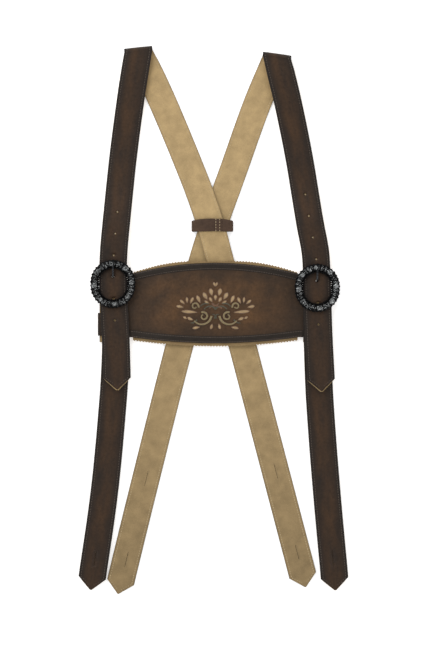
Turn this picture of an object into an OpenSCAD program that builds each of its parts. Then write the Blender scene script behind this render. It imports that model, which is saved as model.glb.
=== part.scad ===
// Leather braces with a chest bridge, laid flat: two long straps cross at the back,
// fold over at the shoulders and are buckled to the two lower front straps.
// X runs across the wearer, Y up the straps, Z up from the surface they lie on.

/* [Straps] */
// Width of every strap
strap_w = 35; // [29:0.5:42]
// Thickness of the dark outer leather
leather_t = 1.4; // [1.1:0.1:1.8]
// Thickness of the suede lining
lining_t = 1.0; // [0.8:0.1:1.3]
// Length of the point that ends each strap
tip_len = 15; // [10:1:20]
// Inner radius of the bend over the shoulder
bend_r = 2.5; // [2:0.1:3.5]
// Clear gap between pieces that lie on each other
rest_gap = 0.3; // [0.2:0.05:0.4]

/* [Prong holes] */
// Distance from one prong hole to the next
hole_pitch = 27.5; // [22:0.5:33]
// Radius of a prong hole
hole_r = 2.5; // [2.5:0.1:3.2]
// Free holes above the buckle, left strap
left_holes_above = 3; // [1:1:4]
// Free holes above the buckle, right strap
right_holes_above = 4; // [1:1:4]
// Free holes below the buckle on each strap
holes_below = 2; // [1:1:2]

/* [Buttonholes] */
// Length of a buttonhole slit
slit_len = 19; // [15:1:23]
// Width of a buttonhole slit
slit_w = 1.6; // [1.2:0.1:2]

/* [Buckles] */
// Width of the flat band of the buckle ring
ring_band = 9; // [7:0.5:11]
// Thickness of the ring at its crest
ring_t = 3.6; // [3:0.1:4.4]
// How much longer than round the ring is, along the strap
ring_stretch = 4; // [2:0.5:6]
// Room between the strap and the ring on each side
ring_play = 1.6; // [1.2:0.1:2]
// Room between the strap and the ring above it
ring_lift = 1.7; // [1.6:0.1:2]
// Radius of the bar that the buckle turns on
bar_r = 1.5; // [1.2:0.1:1.8]
// Width of the prong
prong_w = 2.2; // [1.8:0.1:2.4]
// Thickness of the prong
prong_t = 2; // [1.6:0.1:2.2]

/* [Chest bridge] */
// Height of the bridge at its middle
bridge_h = 102; // [85:1:122]
// Rise of the upper edge from the ends to the middle
upper_rise = 13.5; // [8:0.5:18]
// Drop of the lower edge from the ends to the middle
lower_drop = 7.5; // [4:0.5:12]
// Height of the tab that is sewn into each lower strap
tab_h = 29; // [24:1:35]
// Width of the raised welt along the upper and lower edges
welt_w = 9; // [7:0.5:11]
// Height of the welt above the front panel
welt_t = 1.5; // [1:0.1:2]
// Thickness of the front panel
panel_t = 1.4; // [1.1:0.1:1.6]
// Thickness of the filling between panel and backing
filling_t = 1.0; // [0.8:0.1:1.2]
// Thickness of the pinked suede backing
backing_t = 0.9; // [0.7:0.1:1.1]
// Depth of the pinked teeth
pink_depth = 1.5; // [0.8:0.1:2]
// Distance from one pinked tooth to the next
pink_pitch = 3.8; // [3:0.1:5]
// Height of the embroidery above the front panel
stitch_t = 0.8; // [0.5:0.1:1]

/* [Back keeper] */
// Length of the keeper along the straps
keeper_len = 16; // [13:1:19]
// Thickness of the keeper leather
keeper_t = 1.4; // [1.1:0.1:1.8]
// Clear width inside the keeper, over the strap width
keeper_room = 15; // [14:0.5:18]
// Length of the lap where the keeper's ends are sewn together
keeper_lap = 9; // [7:0.5:11]

/* [Hidden] */
$fn = 64;

dark_leather = "#44342a";
suede = "#b39a6c";
antique_metal = "#2c2c2e";
thread_tan = "#a88b63";
thread_olive = "#5d5a3c";

up = [0, 0, 1];
strap_t = leather_t + lining_t;
over = 1;                       // how far a cutting tool passes a face
section_step = 9;               // spacing of the sections along a strap
point_w = 0.8;                  // width left at the very tip of a strap
bend_steps = 12;
opening_r = strap_w / 2 + ring_play;         // half of the buckle ring's clear width
lug_t = 3.4;
lug_inset = 0.5;                // how far the lugs stand back from the opening
bar_half = opening_r + lug_inset + lug_t;    // half of the bar's length, out to the lugs' faces

// ---- places of the pieces in plan ----
left_ring = [-127, 45.5];
right_ring = [131.5, 40.5];
left_fold = [-95, 341];
right_fold = [80.5, 333];
left_fold_turn = 6;             // how far the fold line is turned from X
right_fold_turn = -8;
cross = [-1, 112];              // where the two back runs cross
keeper_at = [-1.2, 119.5];
bridge_at = [2.5, 21.5];        // middle of the chest bridge
bridge_left = left_ring[0] + bar_half + 2;   // ends of its full height, clear of the bars
bridge_right = right_ring[0] - bar_half - 1.5;
end_left = left_ring[0] + strap_w / 2 + rest_gap;    // where the lower welt meets the straps
end_right = right_ring[0] - strap_w / 2 - rest_gap;
tab_reach = 146.5;
tab_mid = -5.5;
ornament_at = [2.7, 18.3];

// ---- heights ----
bar_z = strap_t + bar_r + rest_gap;          // axis of both buckle bars
loop_r = bar_r + rest_gap;                   // inside of the strap loop round a bar
upper_ply_z = bar_z + loop_r;                // underside of the lower strap above its tab
threaded_z = upper_ply_z + strap_t + rest_gap;   // underside of the long strap in the buckle
ring_z = threaded_z + strap_t + ring_lift;
bend_z = strap_t + bend_r;
fold_top_z = bend_z + bend_r;                // underside of the front run at the shoulder
under_cross_z = keeper_t + rest_gap;
over_cross_z = under_cross_z + strap_t + rest_gap;
stacked_z = strap_t + rest_gap;              // one strap resting on another
tab_z = (strap_t + upper_ply_z - backing_t - filling_t - panel_t) / 2;
bridge_z = over_cross_z + strap_t + rest_gap;    // underside of the bridge, clear of the crossing

// ---- centre lines: x at a given y, from the top down ----
left_front_line = [
    [left_fold[1], left_fold[0]], [285, -104], [203, -115], [122, -123],
    [85, -126.2], [left_ring[1], left_ring[0]], [8, -125.2], [-20, -123.6], [-88, -121.6]
];
right_front_line = [
    [right_fold[1], right_fold[0]], [274, 95], [203, 109.5], [122, 122.5],
    [85, 129.3], [right_ring[1], right_ring[0]], [-16, 133.3], [-90, 137.2]
];
left_back_line = [
    [left_fold[1], left_fold[0]], [285, -68], [183, -25.5], [132, -7],
    [cross[1], cross[0]], [81, 7], [-40, 39], [-284, 103], [-339, 117.5]
];
right_back_line = [
    [right_fold[1], right_fold[0]], [274, 55.5], [183, 23], [132, 4.5],
    [cross[1], cross[0] - 1], [81, -12], [-40, -45], [-223, -91], [-347.7, -121.5]
];
lower_lean = 3.2;               // how far the left lower strap leans in beside the bridge
left_lower_line = [
    [left_ring[1], left_ring[0]], [20, left_ring[0] + 1.2], [-10, left_ring[0] + 2.8],
    [-40, left_ring[0] + lower_lean], [-100, -127.2], [-220, -138.5], [-342, -156]
];
right_lower_line = [
    [right_ring[1], right_ring[0]], [0, right_ring[0]], [-30, right_ring[0] + 0.5],
    [-100, 135], [-220, 144], [-342.5, 155.3]
];

// ---- heights of the strap's underside: z at a given y, from the top down ----
lap_up = 1.45 * strap_w;        // how far above and below the crossing the runs overlap
lap_down = 2.05 * strap_w;
keeper_top = keeper_at[1] + keeper_len / 2 + 6;
keeper_low = keeper_at[1] - keeper_len / 2 - 12;
rise_run = 14;                  // length over which a strap rises on to the keeper
over_lead = 6;                  // how much earlier the strap on top rises
over_heights = [
    [400, 0], [cross[1] + lap_up + 24, 0], [cross[1] + lap_up, stacked_z],
    [keeper_top + over_lead + rise_run, stacked_z], [keeper_top + over_lead, over_cross_z],
    [keeper_low - over_lead, over_cross_z], [keeper_low - over_lead - rise_run, stacked_z],
    [cross[1] - lap_down, stacked_z], [cross[1] - lap_down - 24, 0], [-400, 0]
];
under_heights = [
    [400, 0], [keeper_top + rise_run, 0], [keeper_top, under_cross_z],
    [keeper_low, under_cross_z], [keeper_low - rise_run, 0], [-400, 0]
];
front_heights = [
    [400, fold_top_z], [325, fold_top_z], [210, 0.4], [180, 0.4],
    [112, threaded_z], [-400, threaded_z]
];
return_end = tab_mid - tab_h / 2 - 8;        // where the ply folded under a loop ends
lower_heights = [
    [400, upper_ply_z], [return_end + 4, upper_ply_z], [return_end - 75, 0],
    [return_end - 135, 0], [-235, stacked_z], [-400, stacked_z]
];

// ---- functions ----
function smooth(t) = let (c = min(1, max(0, t))) c * c * (3 - 2 * c);

function stretch_of(table, y, i = 0) =
    i >= len(table) - 2 || y >= table[i + 1][0] ? i : stretch_of(table, y, i + 1);

function height_at(table, y) =
    let (i = stretch_of(table, y), a = table[i], b = table[i + 1])
    a[1] + (b[1] - a[1]) * smooth((a[0] - y) / (a[0] - b[0]));

function slope_at(line, i) =
    let (a = line[max(0, i - 1)], b = line[min(len(line) - 1, i + 1)])
    (b[1] - a[1]) / (b[0] - a[0]);

// x of a centre line at y: a smooth curve through its points
function line_at(line, y) =
    let (i = stretch_of(line, y), a = line[i], b = line[i + 1], h = b[0] - a[0],
         t = (y - a[0]) / h, m = slope_at(line, i) * h, n = slope_at(line, i + 1) * h)
    (1 + 2 * t) * pow(1 - t, 2) * a[1] + t * pow(1 - t, 2) * m
    + t * t * (3 - 2 * t) * b[1] + t * t * (t - 1) * n;

// unit vector along a centre line, down the strap
function run_at(line, y) =
    let (d = [line_at(line, y - 0.5) - line_at(line, y + 0.5), -1]) d / norm(d);

function side_at(line, y) = let (d = run_at(line, y)) [-d[1], d[0], 0];

// one cross-section of a strap: centre, half of its width as a vector, and its up direction
function section_at(line, heights, y, w = strap_w, drop = 0) =
    [[line_at(line, y), y, height_at(heights, y) - drop], side_at(line, y) * w / 2, up];

// sections from y = top down to the pointed tip at the end of the line
function run_sections(line, heights, top, drop = 0) =
    let (tip = line[len(line) - 1][0], corner = tip + tip_len,
         count = ceil((top - corner) / section_step))
    [
        for (i = [0:count]) section_at(line, heights, top + (corner - top) * i / count, drop = drop),
        section_at(line, heights, tip, point_w, drop)
    ];

function fold_side(turn) = [cos(turn), sin(turn), 0] * strap_w / 2 / cos(turn * 2);

// the section along the fold line, shared by the run and the bend
function fold_section(fold, turn, z) = [[fold[0], fold[1], z], fold_side(turn), up];

function bend_sections(fold, turn) = [
    for (i = [0:bend_steps])
        let (a = 180 * i / bend_steps, out = [-sin(turn), cos(turn), 0])
        [[fold[0], fold[1], bend_z], fold_side(turn), out * sin(a) - up * cos(a)]
];

// a lower strap: the ply folded under, the loop round the bar, and the run down to its tip
function lower_sections(line, ring) = [
    for (y = [return_end, ring[1]]) [[ring[0], y, bar_z], [strap_w / 2, 0, 0], -up],
    for (i = [1:bend_steps - 1])
        let (a = 180 * i / bend_steps)
        [[ring[0], ring[1], bar_z], [strap_w / 2, 0, 0], [0, sin(a), -cos(a)]],
    each run_sections(line, lower_heights, ring[1], loop_r)
];

// ---- leather ----

// Closed strip through the sections, from `low` to `high` along each section's up direction
module strip(sections, low, high) {
    n = len(sections);
    points = [
        for (s = sections) each [
            s[0] - s[1] + s[2] * low, s[0] + s[1] + s[2] * low,
            s[0] + s[1] + s[2] * high, s[0] - s[1] + s[2] * high
        ]
    ];
    walls = [
        for (i = [0:n - 2], k = [0:3])
            let (a = 4 * i + k, b = 4 * i + (k + 1) % 4)
            // a layer's lower face is split the same way as the upper face that it lies on
            each k == 0 ? [[a, b, a + 4], [b, b + 4, a + 4]] : [[a, b, b + 4], [a, b + 4, a + 4]]
    ];
    last = 4 * (n - 1);
    ends = [[0, 2, 1], [0, 3, 2], [last, last + 1, last + 2], [last, last + 2, last + 3]];
    polyhedron(points, concat(walls, ends));
}

module prong_holes(line, ring, above) {
    for (i = [-holes_below:above]) {
        y = ring[1] + prong_exit + i * hole_pitch;
        translate([line_at(line, y), y, threaded_z - 20]) cylinder(r = hole_r, h = 60);
    }
}

module buttonhole(line, y) {
    d = run_at(line, y);
    translate([line_at(line, y), y, -over]) rotate(atan2(d[1], d[0])) {
        translate([-slit_len / 2 + slit_w / 2, -slit_w / 2, 0])
            cube([slit_len - slit_w, slit_w, 20]);
        for (s = [-1, 1])
            translate([s * (slit_len - slit_w) / 2, 0, 0]) cylinder(d = slit_w, h = 20);
    }
}

// the long straps from the shoulder down the front, where the dark leather is on top
module front_run(line, fold, turn, ring, above, low, high) {
    difference() {
        strip(concat([fold_section(fold, turn, fold_top_z)],
                     run_sections(line, front_heights, fold[1] - section_step)), low, high);
        prong_holes(line, ring, above);
    }
}

// the long straps from the shoulder down the back, where the lining is on top
module back_run(line, fold, turn, heights, low, high) {
    tip = line[len(line) - 1][0];
    difference() {
        strip(concat([fold_section(fold, turn, 0)],
                     run_sections(line, heights, fold[1] - section_step)), low, high);
        buttonhole(line, tip + back_slits[0]);
        buttonhole(line, tip + back_slits[1]);
    }
}

module lower_run(line, ring, low, high) {
    difference() {
        strip(lower_sections(line, ring), low, high);
        translate([ring[0] - prong_slot / 2, ring[1] - eye_r - over, -over])
            cube([prong_slot, 20, 30]);
        buttonhole(line, line[len(line) - 1][0] + front_slit);
    }
}

back_slits = [44, 147];         // buttonholes, up from the tip of a back run
front_slit = 40;                // buttonhole, up from the tip of a lower strap

module left_back_strap_outer() {
    color(dark_leather)
        back_run(left_back_line, left_fold, left_fold_turn, over_heights, 0, leather_t);
}
module left_back_strap_lining() {
    color(suede)
        back_run(left_back_line, left_fold, left_fold_turn, over_heights, leather_t, strap_t);
}
module right_back_strap_outer() {
    color(dark_leather)
        back_run(right_back_line, right_fold, right_fold_turn, under_heights, 0, leather_t);
}
module right_back_strap_lining() {
    color(suede)
        back_run(right_back_line, right_fold, right_fold_turn, under_heights, leather_t, strap_t);
}

module left_shoulder_bend_outer() {
    color(dark_leather)
        strip(bend_sections(left_fold, left_fold_turn), bend_r + lining_t, bend_r + strap_t);
}
module left_shoulder_bend_lining() {
    color(suede) strip(bend_sections(left_fold, left_fold_turn), bend_r, bend_r + lining_t);
}
module right_shoulder_bend_outer() {
    color(dark_leather)
        strip(bend_sections(right_fold, right_fold_turn), bend_r + lining_t, bend_r + strap_t);
}
module right_shoulder_bend_lining() {
    color(suede) strip(bend_sections(right_fold, right_fold_turn), bend_r, bend_r + lining_t);
}

module left_front_strap_outer() {
    color(dark_leather)
        front_run(left_front_line, left_fold, left_fold_turn, left_ring, left_holes_above,
                  lining_t, strap_t);
}
module left_front_strap_lining() {
    color(suede)
        front_run(left_front_line, left_fold, left_fold_turn, left_ring, left_holes_above,
                  0, lining_t);
}
module right_front_strap_outer() {
    color(dark_leather)
        front_run(right_front_line, right_fold, right_fold_turn, right_ring, right_holes_above,
                  lining_t, strap_t);
}
module right_front_strap_lining() {
    color(suede)
        front_run(right_front_line, right_fold, right_fold_turn, right_ring, right_holes_above,
                  0, lining_t);
}

module left_lower_strap_outer() {
    color(dark_leather)
        lower_run(left_lower_line, left_ring, loop_r + lining_t, loop_r + strap_t);
}
module left_lower_strap_lining() {
    color(suede) lower_run(left_lower_line, left_ring, loop_r, loop_r + lining_t);
}
module right_lower_strap_outer() {
    color(dark_leather)
        lower_run(right_lower_line, right_ring, loop_r + lining_t, loop_r + strap_t);
}
module right_lower_strap_lining() {
    color(suede) lower_run(right_lower_line, right_ring, loop_r, loop_r + lining_t);
}

// ---- buckles ----
ring_r = opening_r + ring_band;
lug_r = bar_r + 1.6;
crest_w = 0.45 * ring_band;
rim_t = 0.45 * ring_t;
eye_gap = 0.06;                               // running clearance of the prong on the bar
eye_r = bar_r + eye_gap + 1.7;
prong_slot = prong_w + 1.8;
prong_exit = 9;                               // how far above the bar the prong leaves its hole

// half of the band's section: domed, thinner at both rims
module band_section() {
    translate([opening_r, 0])
        polygon([
            [0, 0], [ring_band, 0], [ring_band, rim_t],
            [(ring_band + crest_w) / 2, ring_t], [(ring_band - crest_w) / 2, ring_t], [0, rim_t]
        ]);
}

module ring_body() {
    h = ring_stretch / 2;
    for (turn = [0, 180]) rotate(turn) {
        translate([0, h, 0]) rotate_extrude(angle = 180) band_section();
        translate([0, h, 0]) rotate([90, 0, 0]) linear_extrude(height = 2 * h) band_section();
    }
}

module lug_plate() {
    rotate([90, 0, 90]) linear_extrude(height = lug_t) union() {
        translate([0, bar_z]) circle(r = lug_r);
        translate([-lug_r, bar_z]) square([2 * lug_r, ring_z + rim_t / 2 - bar_z]);
    }
}

module buckle_ring(ring) {
    color(antique_metal) translate([ring[0], ring[1], 0]) difference() {
        union() {
            translate([0, 0, ring_z]) ring_body();
            translate([opening_r + lug_inset, 0, 0]) lug_plate();
            translate([-opening_r - lug_inset - lug_t, 0, 0]) lug_plate();
        }
        translate([-ring_r, 0, bar_z]) rotate([0, 90, 0]) cylinder(r = bar_r, h = 2 * ring_r);
        translate([-prong_w / 2 - 0.4, 0, prong_seat_z])
            cube([prong_w + 0.8, ring_r + ring_stretch, ring_t]);
    }
}

module buckle_bar(ring) {
    color(antique_metal) translate([ring[0] - bar_half, ring[1], bar_z])
        rotate([0, 90, 0]) cylinder(r = bar_r, h = 2 * bar_half);
}

prong_seat_z = ring_z + ring_t - 0.9;         // floor of the notch that the prong rests in
prong_tip = ring_r + ring_stretch / 2 - 1;
prong_rest_z = prong_seat_z + 0.15 + prong_t / 2;

// side view of the prong, as (y, z) from the bar: it leaves the eye flat, climbs steeply
// through the strap's hole, and lies over the ring
module prong_profile() {
    climb = 1.45;                             // half of the run of the steep stretch
    foot_z = upper_ply_z + strap_t - 1.1;
    head_z = threaded_z + strap_t + 1.4;
    line = [
        [1, bar_z + eye_r - prong_t / 2 - 0.3], [prong_exit - climb, foot_z],
        [prong_exit + climb, head_z], [opening_r, prong_rest_z], [prong_tip, prong_rest_z]
    ];
    last = len(line) - 1;
    function way(i) = let (d = line[i + 1] - line[i]) d / norm(d);
    // the mitred offset of the line at its point i, to the side s
    function edge(i, s) =
        let (u = way(max(0, i - 1)), v = way(min(last - 1, i)), m = (u + v) / norm(u + v))
        line[i] + s * prong_t / 2 / (m * v) * [-m[1], m[0]];
    polygon(concat([for (i = [0:last]) edge(i, 1)], [for (i = [last:-1:0]) edge(i, -1)]));
}

module buckle_prong(ring) {
    color(antique_metal) translate([ring[0] - prong_w / 2, ring[1], 0]) difference() {
        rotate([90, 0, 90]) linear_extrude(height = prong_w) union() {
            prong_profile();
            translate([0, bar_z]) circle(r = eye_r);
        }
        translate([-over, 0, bar_z]) rotate([0, 90, 0])
            cylinder(r = bar_r + eye_gap, h = prong_w + 2 * over);
    }
}

module left_buckle_ring() { buckle_ring(left_ring); }
module right_buckle_ring() { buckle_ring(right_ring); }
module left_buckle_bar() { buckle_bar(left_ring); }
module right_buckle_bar() { buckle_bar(right_ring); }
module left_buckle_prong() { buckle_prong(left_ring); }
module right_buckle_prong() { buckle_prong(right_ring); }

// ---- chest bridge ----
half_len = (bridge_right - bridge_left) / 2;
level_half = 52;                // half of the level stretch over the crossing straps
arch_run = 45;                  // length over which each end comes down to the tab
edge_steps = 24;
upper_mid_y = bridge_at[1] + bridge_h / 2;
lower_mid_y = bridge_at[1] - bridge_h / 2;

function along(x) = (x - bridge_at[0]) / half_len;
function upper_edge(x) = upper_mid_y - upper_rise * pow(along(x), 2);
function lower_edge(x) = lower_mid_y + lower_drop * pow(along(x), 2);
function under_bridge(x) =
    bridge_z + (tab_z - bridge_z) * smooth((abs(x - bridge_at[0]) - level_half) / arch_run);
function edge_x(i, count) = bridge_left + (bridge_right - bridge_left) * i / count;

// a layer that follows the bridge's arch, from `low` to `high` above its underside
module arched(low, high) {
    stops = concat([-tab_reach - over], [for (i = [0.5:edge_steps]) edge_x(i, edge_steps)],
                   [tab_reach + over]);
    intersection() {
        rotate([90, 0, 0]) linear_extrude(height = 400, center = true)
            polygon(concat([for (x = stops) [x, under_bridge(x) + low]],
                           [for (i = [len(stops) - 1:-1:0]) [stops[i], under_bridge(stops[i]) + high]]));
        linear_extrude(height = 60) children();
    }
}

module tabs() {
    translate([-tab_reach, tab_mid - tab_h / 2]) square([2 * tab_reach, tab_h]);
}

// below the bars each end goes on under the lower strap
module shoulder(ring, end, near, side) {
    top = ring[1] - lug_r - 4.4;
    polygon([
        [near - side, lower_edge(near)], [near - side, top], [end, top],
        [end + 8 * side, top - 6], [end + 8 * side, lower_edge(end) + 1.5], [end, lower_edge(end)]
    ]);
}

module shoulders() {
    shoulder(left_ring, end_left, bridge_left, -1);
    shoulder(right_ring, end_right, bridge_right, 1);
}

module bridge_outline() {
    polygon(concat([for (i = [0:edge_steps]) let (x = edge_x(i, edge_steps)) [x, upper_edge(x)]],
                   [for (i = [edge_steps:-1:0]) let (x = edge_x(i, edge_steps)) [x, lower_edge(x)]]));
    shoulders();
    tabs();
}

// the backing stands out past the panel, with a zigzag cut edge
module pinked_outline() {
    count = 2 * round(half_len / pink_pitch) * 2;
    upper_stand = 2.6;
    lower_stand = 3;
    upper = [
        for (i = [0:count])
            let (x = edge_x(i, count))
            [x, upper_edge(x) + 0.3 + upper_stand * sin(180 * abs(along(x))) + (i % 2) * pink_depth]
    ];
    lower = [
        for (i = [count:-1:0])
            let (x = edge_x(i, count)) [x, lower_edge(x) - lower_stand - (i % 2) * pink_depth]
    ];
    polygon(concat(upper, lower));
    shoulders();
    tabs();
}

module bridge_front_panel() {
    color(dark_leather) arched(backing_t + filling_t, backing_t + filling_t + panel_t)
        bridge_outline();
}
module bridge_filling() {
    color(suede) arched(backing_t, backing_t + filling_t) bridge_outline();
}
module bridge_backing() {
    color(suede) arched(0, backing_t) pinked_outline();
}

panel_top = backing_t + filling_t + panel_t;

module bridge_upper_welt() {
    color(dark_leather) arched(panel_top, panel_top + welt_t)
        polygon(concat([for (i = [0:edge_steps]) let (x = edge_x(i, edge_steps)) [x, upper_edge(x)]],
                       [for (i = [edge_steps:-1:0]) let (x = edge_x(i, edge_steps)) [x, upper_edge(x) - welt_w]]));
}
module bridge_lower_welt() {
    first = end_left + lower_lean;
    function end_x(i) = first + (end_right - first) * i / edge_steps;
    color(dark_leather) arched(panel_top, panel_top + welt_t)
        polygon(concat([for (i = [0:edge_steps]) [end_x(i), lower_edge(end_x(i))]],
                       [for (i = [edge_steps:-1:0]) [end_x(i), lower_edge(end_x(i)) + welt_w]]));
}

// ---- embroidery: a symmetrical spray of petals over scrolls ----

// a leaf with two pointed ends, standing on the origin and pointing along +Y
module petal(length, width) {
    r = (length * length / 4 + width * width / 4) / width;
    intersection() {
        translate([r - width / 2, length / 2]) circle(r = r);
        translate([width / 2 - r, length / 2]) circle(r = r);
    }
}

module on_panel() {
    color(thread_tan) translate([ornament_at[0], ornament_at[1], bridge_z + panel_top])
        linear_extrude(height = stitch_t) children();
}

module both_sides() {
    children();
    mirror([1, 0, 0]) children();
}

// a tapering ribbon that winds in towards its centre
module scroll(start_r, end_r, from, sweep, w) {
    steps = 28;
    function spot(i, s) =
        let (f = i / steps, a = from + sweep * f, r = start_r + (end_r - start_r) * f,
             half = w / 2 * (1 - 0.45 * f))
        [(r + s * half) * cos(a), (r + s * half) * sin(a)];
    polygon(concat([for (i = [0:steps]) spot(i, 1)], [for (i = [steps:-1:0]) spot(i, -1)]));
}

// [x, y, turn, length, width] of each petal on the right-hand side
fan_petals = [
    [4.3, 12.4, -14, 9.5, 4.6], [10.3, 7.8, -32, 10, 4.4], [19.3, 3.2, -24, 10.5, 3.8],
    [31.9, 2.4, 25, 9, 3.2], [35.7, 3.2, -5, 7.5, 2.6], [38.9, 1.9, -50, 8, 2.8],
    [40.3, -2.3, -80, 9.5, 3.2], [22.5, -8.7, -86, 21, 3.6], [28.2, -18.4, -68, 8, 3.2],
    [36.1, -16.9, -60, 5.5, 2.4], [19.8, -27.2, -100, 9.5, 3], [4.1, -23.1, -165, 7, 3]
];
flower_petals = [[0, 6.5, 0, 7, 3.4], [4, 4.2, -30, 7, 3], [8, 2.2, -58, 7, 2.6]];
crown_petals = [[0, 24, 24, 6, 2.4], [0, 24, -24, 6, 2.4]];

module petals_from(list) {
    for (p = list) translate([p[0], p[1]]) rotate(p[2]) petal(p[3], p[4]);
}

module embroidered_petals() {
    on_panel() both_sides() petals_from(fan_petals);
}
module embroidered_scrolls() {
    on_panel() both_sides() {
        translate([26, -1]) scroll(4.8, 1.8, 200, -360, 2);
        translate([15, -13.8]) scroll(5.6, 2, 60, 380, 2.2);
        translate([17, -11.5]) scroll(12, 12.6, 188, 134, 2.4);
    }
}
module embroidered_flower() {
    on_panel() {
        petals_from(concat([flower_petals[0]], crown_petals));
        both_sides() petals_from([flower_petals[1], flower_petals[2]]);
        translate([0, 4.5]) scroll(4.4, 4.4, 200, 140, 1.8);
        translate([0, -12]) scroll(11.5, 11.5, 45, 90, 1.8);
    }
}

// ---- back keeper ----
module round_box(size, r) {
    translate([-size[0] / 2 + r, 0]) square([size[0] - 2 * r, size[1]]);
    translate([-size[0] / 2, r]) square([size[0], size[1] - 2 * r]);
    for (x = [-1, 1], y = [r, size[1] - r])
        translate([x * (size[0] / 2 - r), y]) circle(r = r);
}

module back_keeper() {
    inner = [strap_w + keeper_room, over_cross_z + strap_t + rest_gap - keeper_t];
    outer = inner + [2, 2] * keeper_t;
    color(dark_leather) translate([keeper_at[0], keeper_at[1] + keeper_len / 2, 0]) {
        rotate([90, 0, 0]) linear_extrude(height = keeper_len) difference() {
            round_box(outer, 2.4);
            translate([0, keeper_t]) round_box(inner, 1);
        }
        translate([3, -keeper_len, outer[1] - 0.2]) cube([keeper_lap, keeper_len, 0.9]);
    }
}

left_back_strap_outer();
left_back_strap_lining();
right_back_strap_outer();
right_back_strap_lining();
left_shoulder_bend_outer();
left_shoulder_bend_lining();
right_shoulder_bend_outer();
right_shoulder_bend_lining();
left_front_strap_outer();
left_front_strap_lining();
right_front_strap_outer();
right_front_strap_lining();
left_lower_strap_outer();
left_lower_strap_lining();
right_lower_strap_outer();
right_lower_strap_lining();
left_buckle_ring();
right_buckle_ring();
left_buckle_bar();
right_buckle_bar();
left_buckle_prong();
right_buckle_prong();
bridge_front_panel();
bridge_filling();
bridge_backing();
bridge_upper_welt();
bridge_lower_welt();
embroidered_petals();
embroidered_scrolls();
embroidered_flower();
back_keeper();
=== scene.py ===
"""Leather folk-dress braces: suede-lined straps, wreath buckles and an embroidered chest bridge."""
import math

import bmesh
import bpy
import numpy as np
from bpy.props import FloatProperty, FloatVectorProperty, PointerProperty
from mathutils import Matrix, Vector


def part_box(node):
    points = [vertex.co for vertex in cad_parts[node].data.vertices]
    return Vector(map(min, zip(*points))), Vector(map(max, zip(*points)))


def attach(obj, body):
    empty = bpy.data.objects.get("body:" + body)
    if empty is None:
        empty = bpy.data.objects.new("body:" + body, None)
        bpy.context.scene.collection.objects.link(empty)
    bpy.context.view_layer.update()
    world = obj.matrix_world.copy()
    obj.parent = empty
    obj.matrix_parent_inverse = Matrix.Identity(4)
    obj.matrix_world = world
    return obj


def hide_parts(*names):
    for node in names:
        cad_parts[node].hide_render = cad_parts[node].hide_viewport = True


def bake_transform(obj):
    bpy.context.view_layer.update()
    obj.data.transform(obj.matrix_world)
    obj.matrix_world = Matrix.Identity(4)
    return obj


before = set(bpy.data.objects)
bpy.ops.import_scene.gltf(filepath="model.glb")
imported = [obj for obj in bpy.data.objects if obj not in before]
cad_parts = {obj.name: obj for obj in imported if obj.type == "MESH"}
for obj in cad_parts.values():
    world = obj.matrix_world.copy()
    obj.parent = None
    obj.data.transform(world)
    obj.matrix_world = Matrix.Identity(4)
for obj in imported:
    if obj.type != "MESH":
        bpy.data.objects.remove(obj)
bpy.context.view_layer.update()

bl_info = {
    "name": "Leather Braces",
    "version": (1, 0, 0),
    "blender": (4, 5, 0),
    "location": "View3D > Sidebar > Braces",
    "description": "Straps, buckles, chest bridge, embroidery and stitching of a pair of leather braces",
    "category": "Add Mesh",
}

SIDES = ("left", "right")
MM = 0.001
UP = Vector((0, 0, 1))


def linear(hex_colour):
    """The linear colour of an sRGB hex value."""
    shares = [int(hex_colour[i:i + 2], 16) / 255 for i in (1, 3, 5)]
    return [s / 12.92 if s <= 0.04045 else ((s + 0.055) / 1.055) ** 2.4 for s in shares]


def length_prop(name, text, millimetres):
    """A length that the user may change."""
    return FloatProperty(name=name, description=text, default=millimetres * MM, unit="LENGTH",
                         precision=4)


def colour_prop(name, text, hex_colour):
    """A colour that the user may change."""
    return FloatVectorProperty(name=name, description=text, default=linear(hex_colour), size=3,
                               subtype="COLOR", min=0, max=1)


class StrapSettings(bpy.types.PropertyGroup):
    """Sizes and colours of the straps."""
    width: length_prop("Strap width", "Width of every strap", 35)
    leather: length_prop("Leather", "Thickness of the dark outer leather", 1.4)
    lining: length_prop("Lining", "Thickness of the suede lining", 1.0)
    tip: length_prop("Point", "Length of the point at each strap end", 15)
    proud: length_prop("Standing point", "How far the lining stands out past the leather at the points", 0.9)
    shy: length_prop("Set-back", "How far the lining stays back from the leather's long edges", 0.2)
    seam: length_prop("Seam inset", "Distance from the edge to the row of stitches", 3.2)
    pitch: length_prop("Stitch pitch", "Distance from one stitch to the next", 3.2)
    hole: length_prop("Prong hole", "Radius of the prong hole in use", 1.5)
    spare_hole: length_prop("Spare hole", "Radius of the prong holes that aren't in use", 1.4)
    pricked: length_prop("Pricked hole", "Radius of a spare hole where it goes through the lining", 0.35)
    slit: length_prop("Slit", "Width of a buttonhole's slit", 0.4)
    hole_pitch: length_prop("Hole pitch", "Distance between prong holes", 27.5)
    dark: colour_prop("Dark leather", "Deep tone of the outer leather", "#231c17")
    # this warm tone is the painted sheen along the middle of each strap's outer leather, broken into clouds
    patch_and_painted_light: colour_prop("Worn leather", "Warm tone where the outer leather is rubbed", "#3f2c1c")
    suede: colour_prop("Suede", "Colour of the suede lining", "#b49a6f")
    cut: colour_prop("Cut edge", "Colour of the raw cut edges", "#8d765b")
    thread: colour_prop("Thread", "Colour of the seam thread", "#bfa982")
    dark_thread: colour_prop("Dark thread", "Thread on the dark leather", "#4b3b2d")


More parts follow.
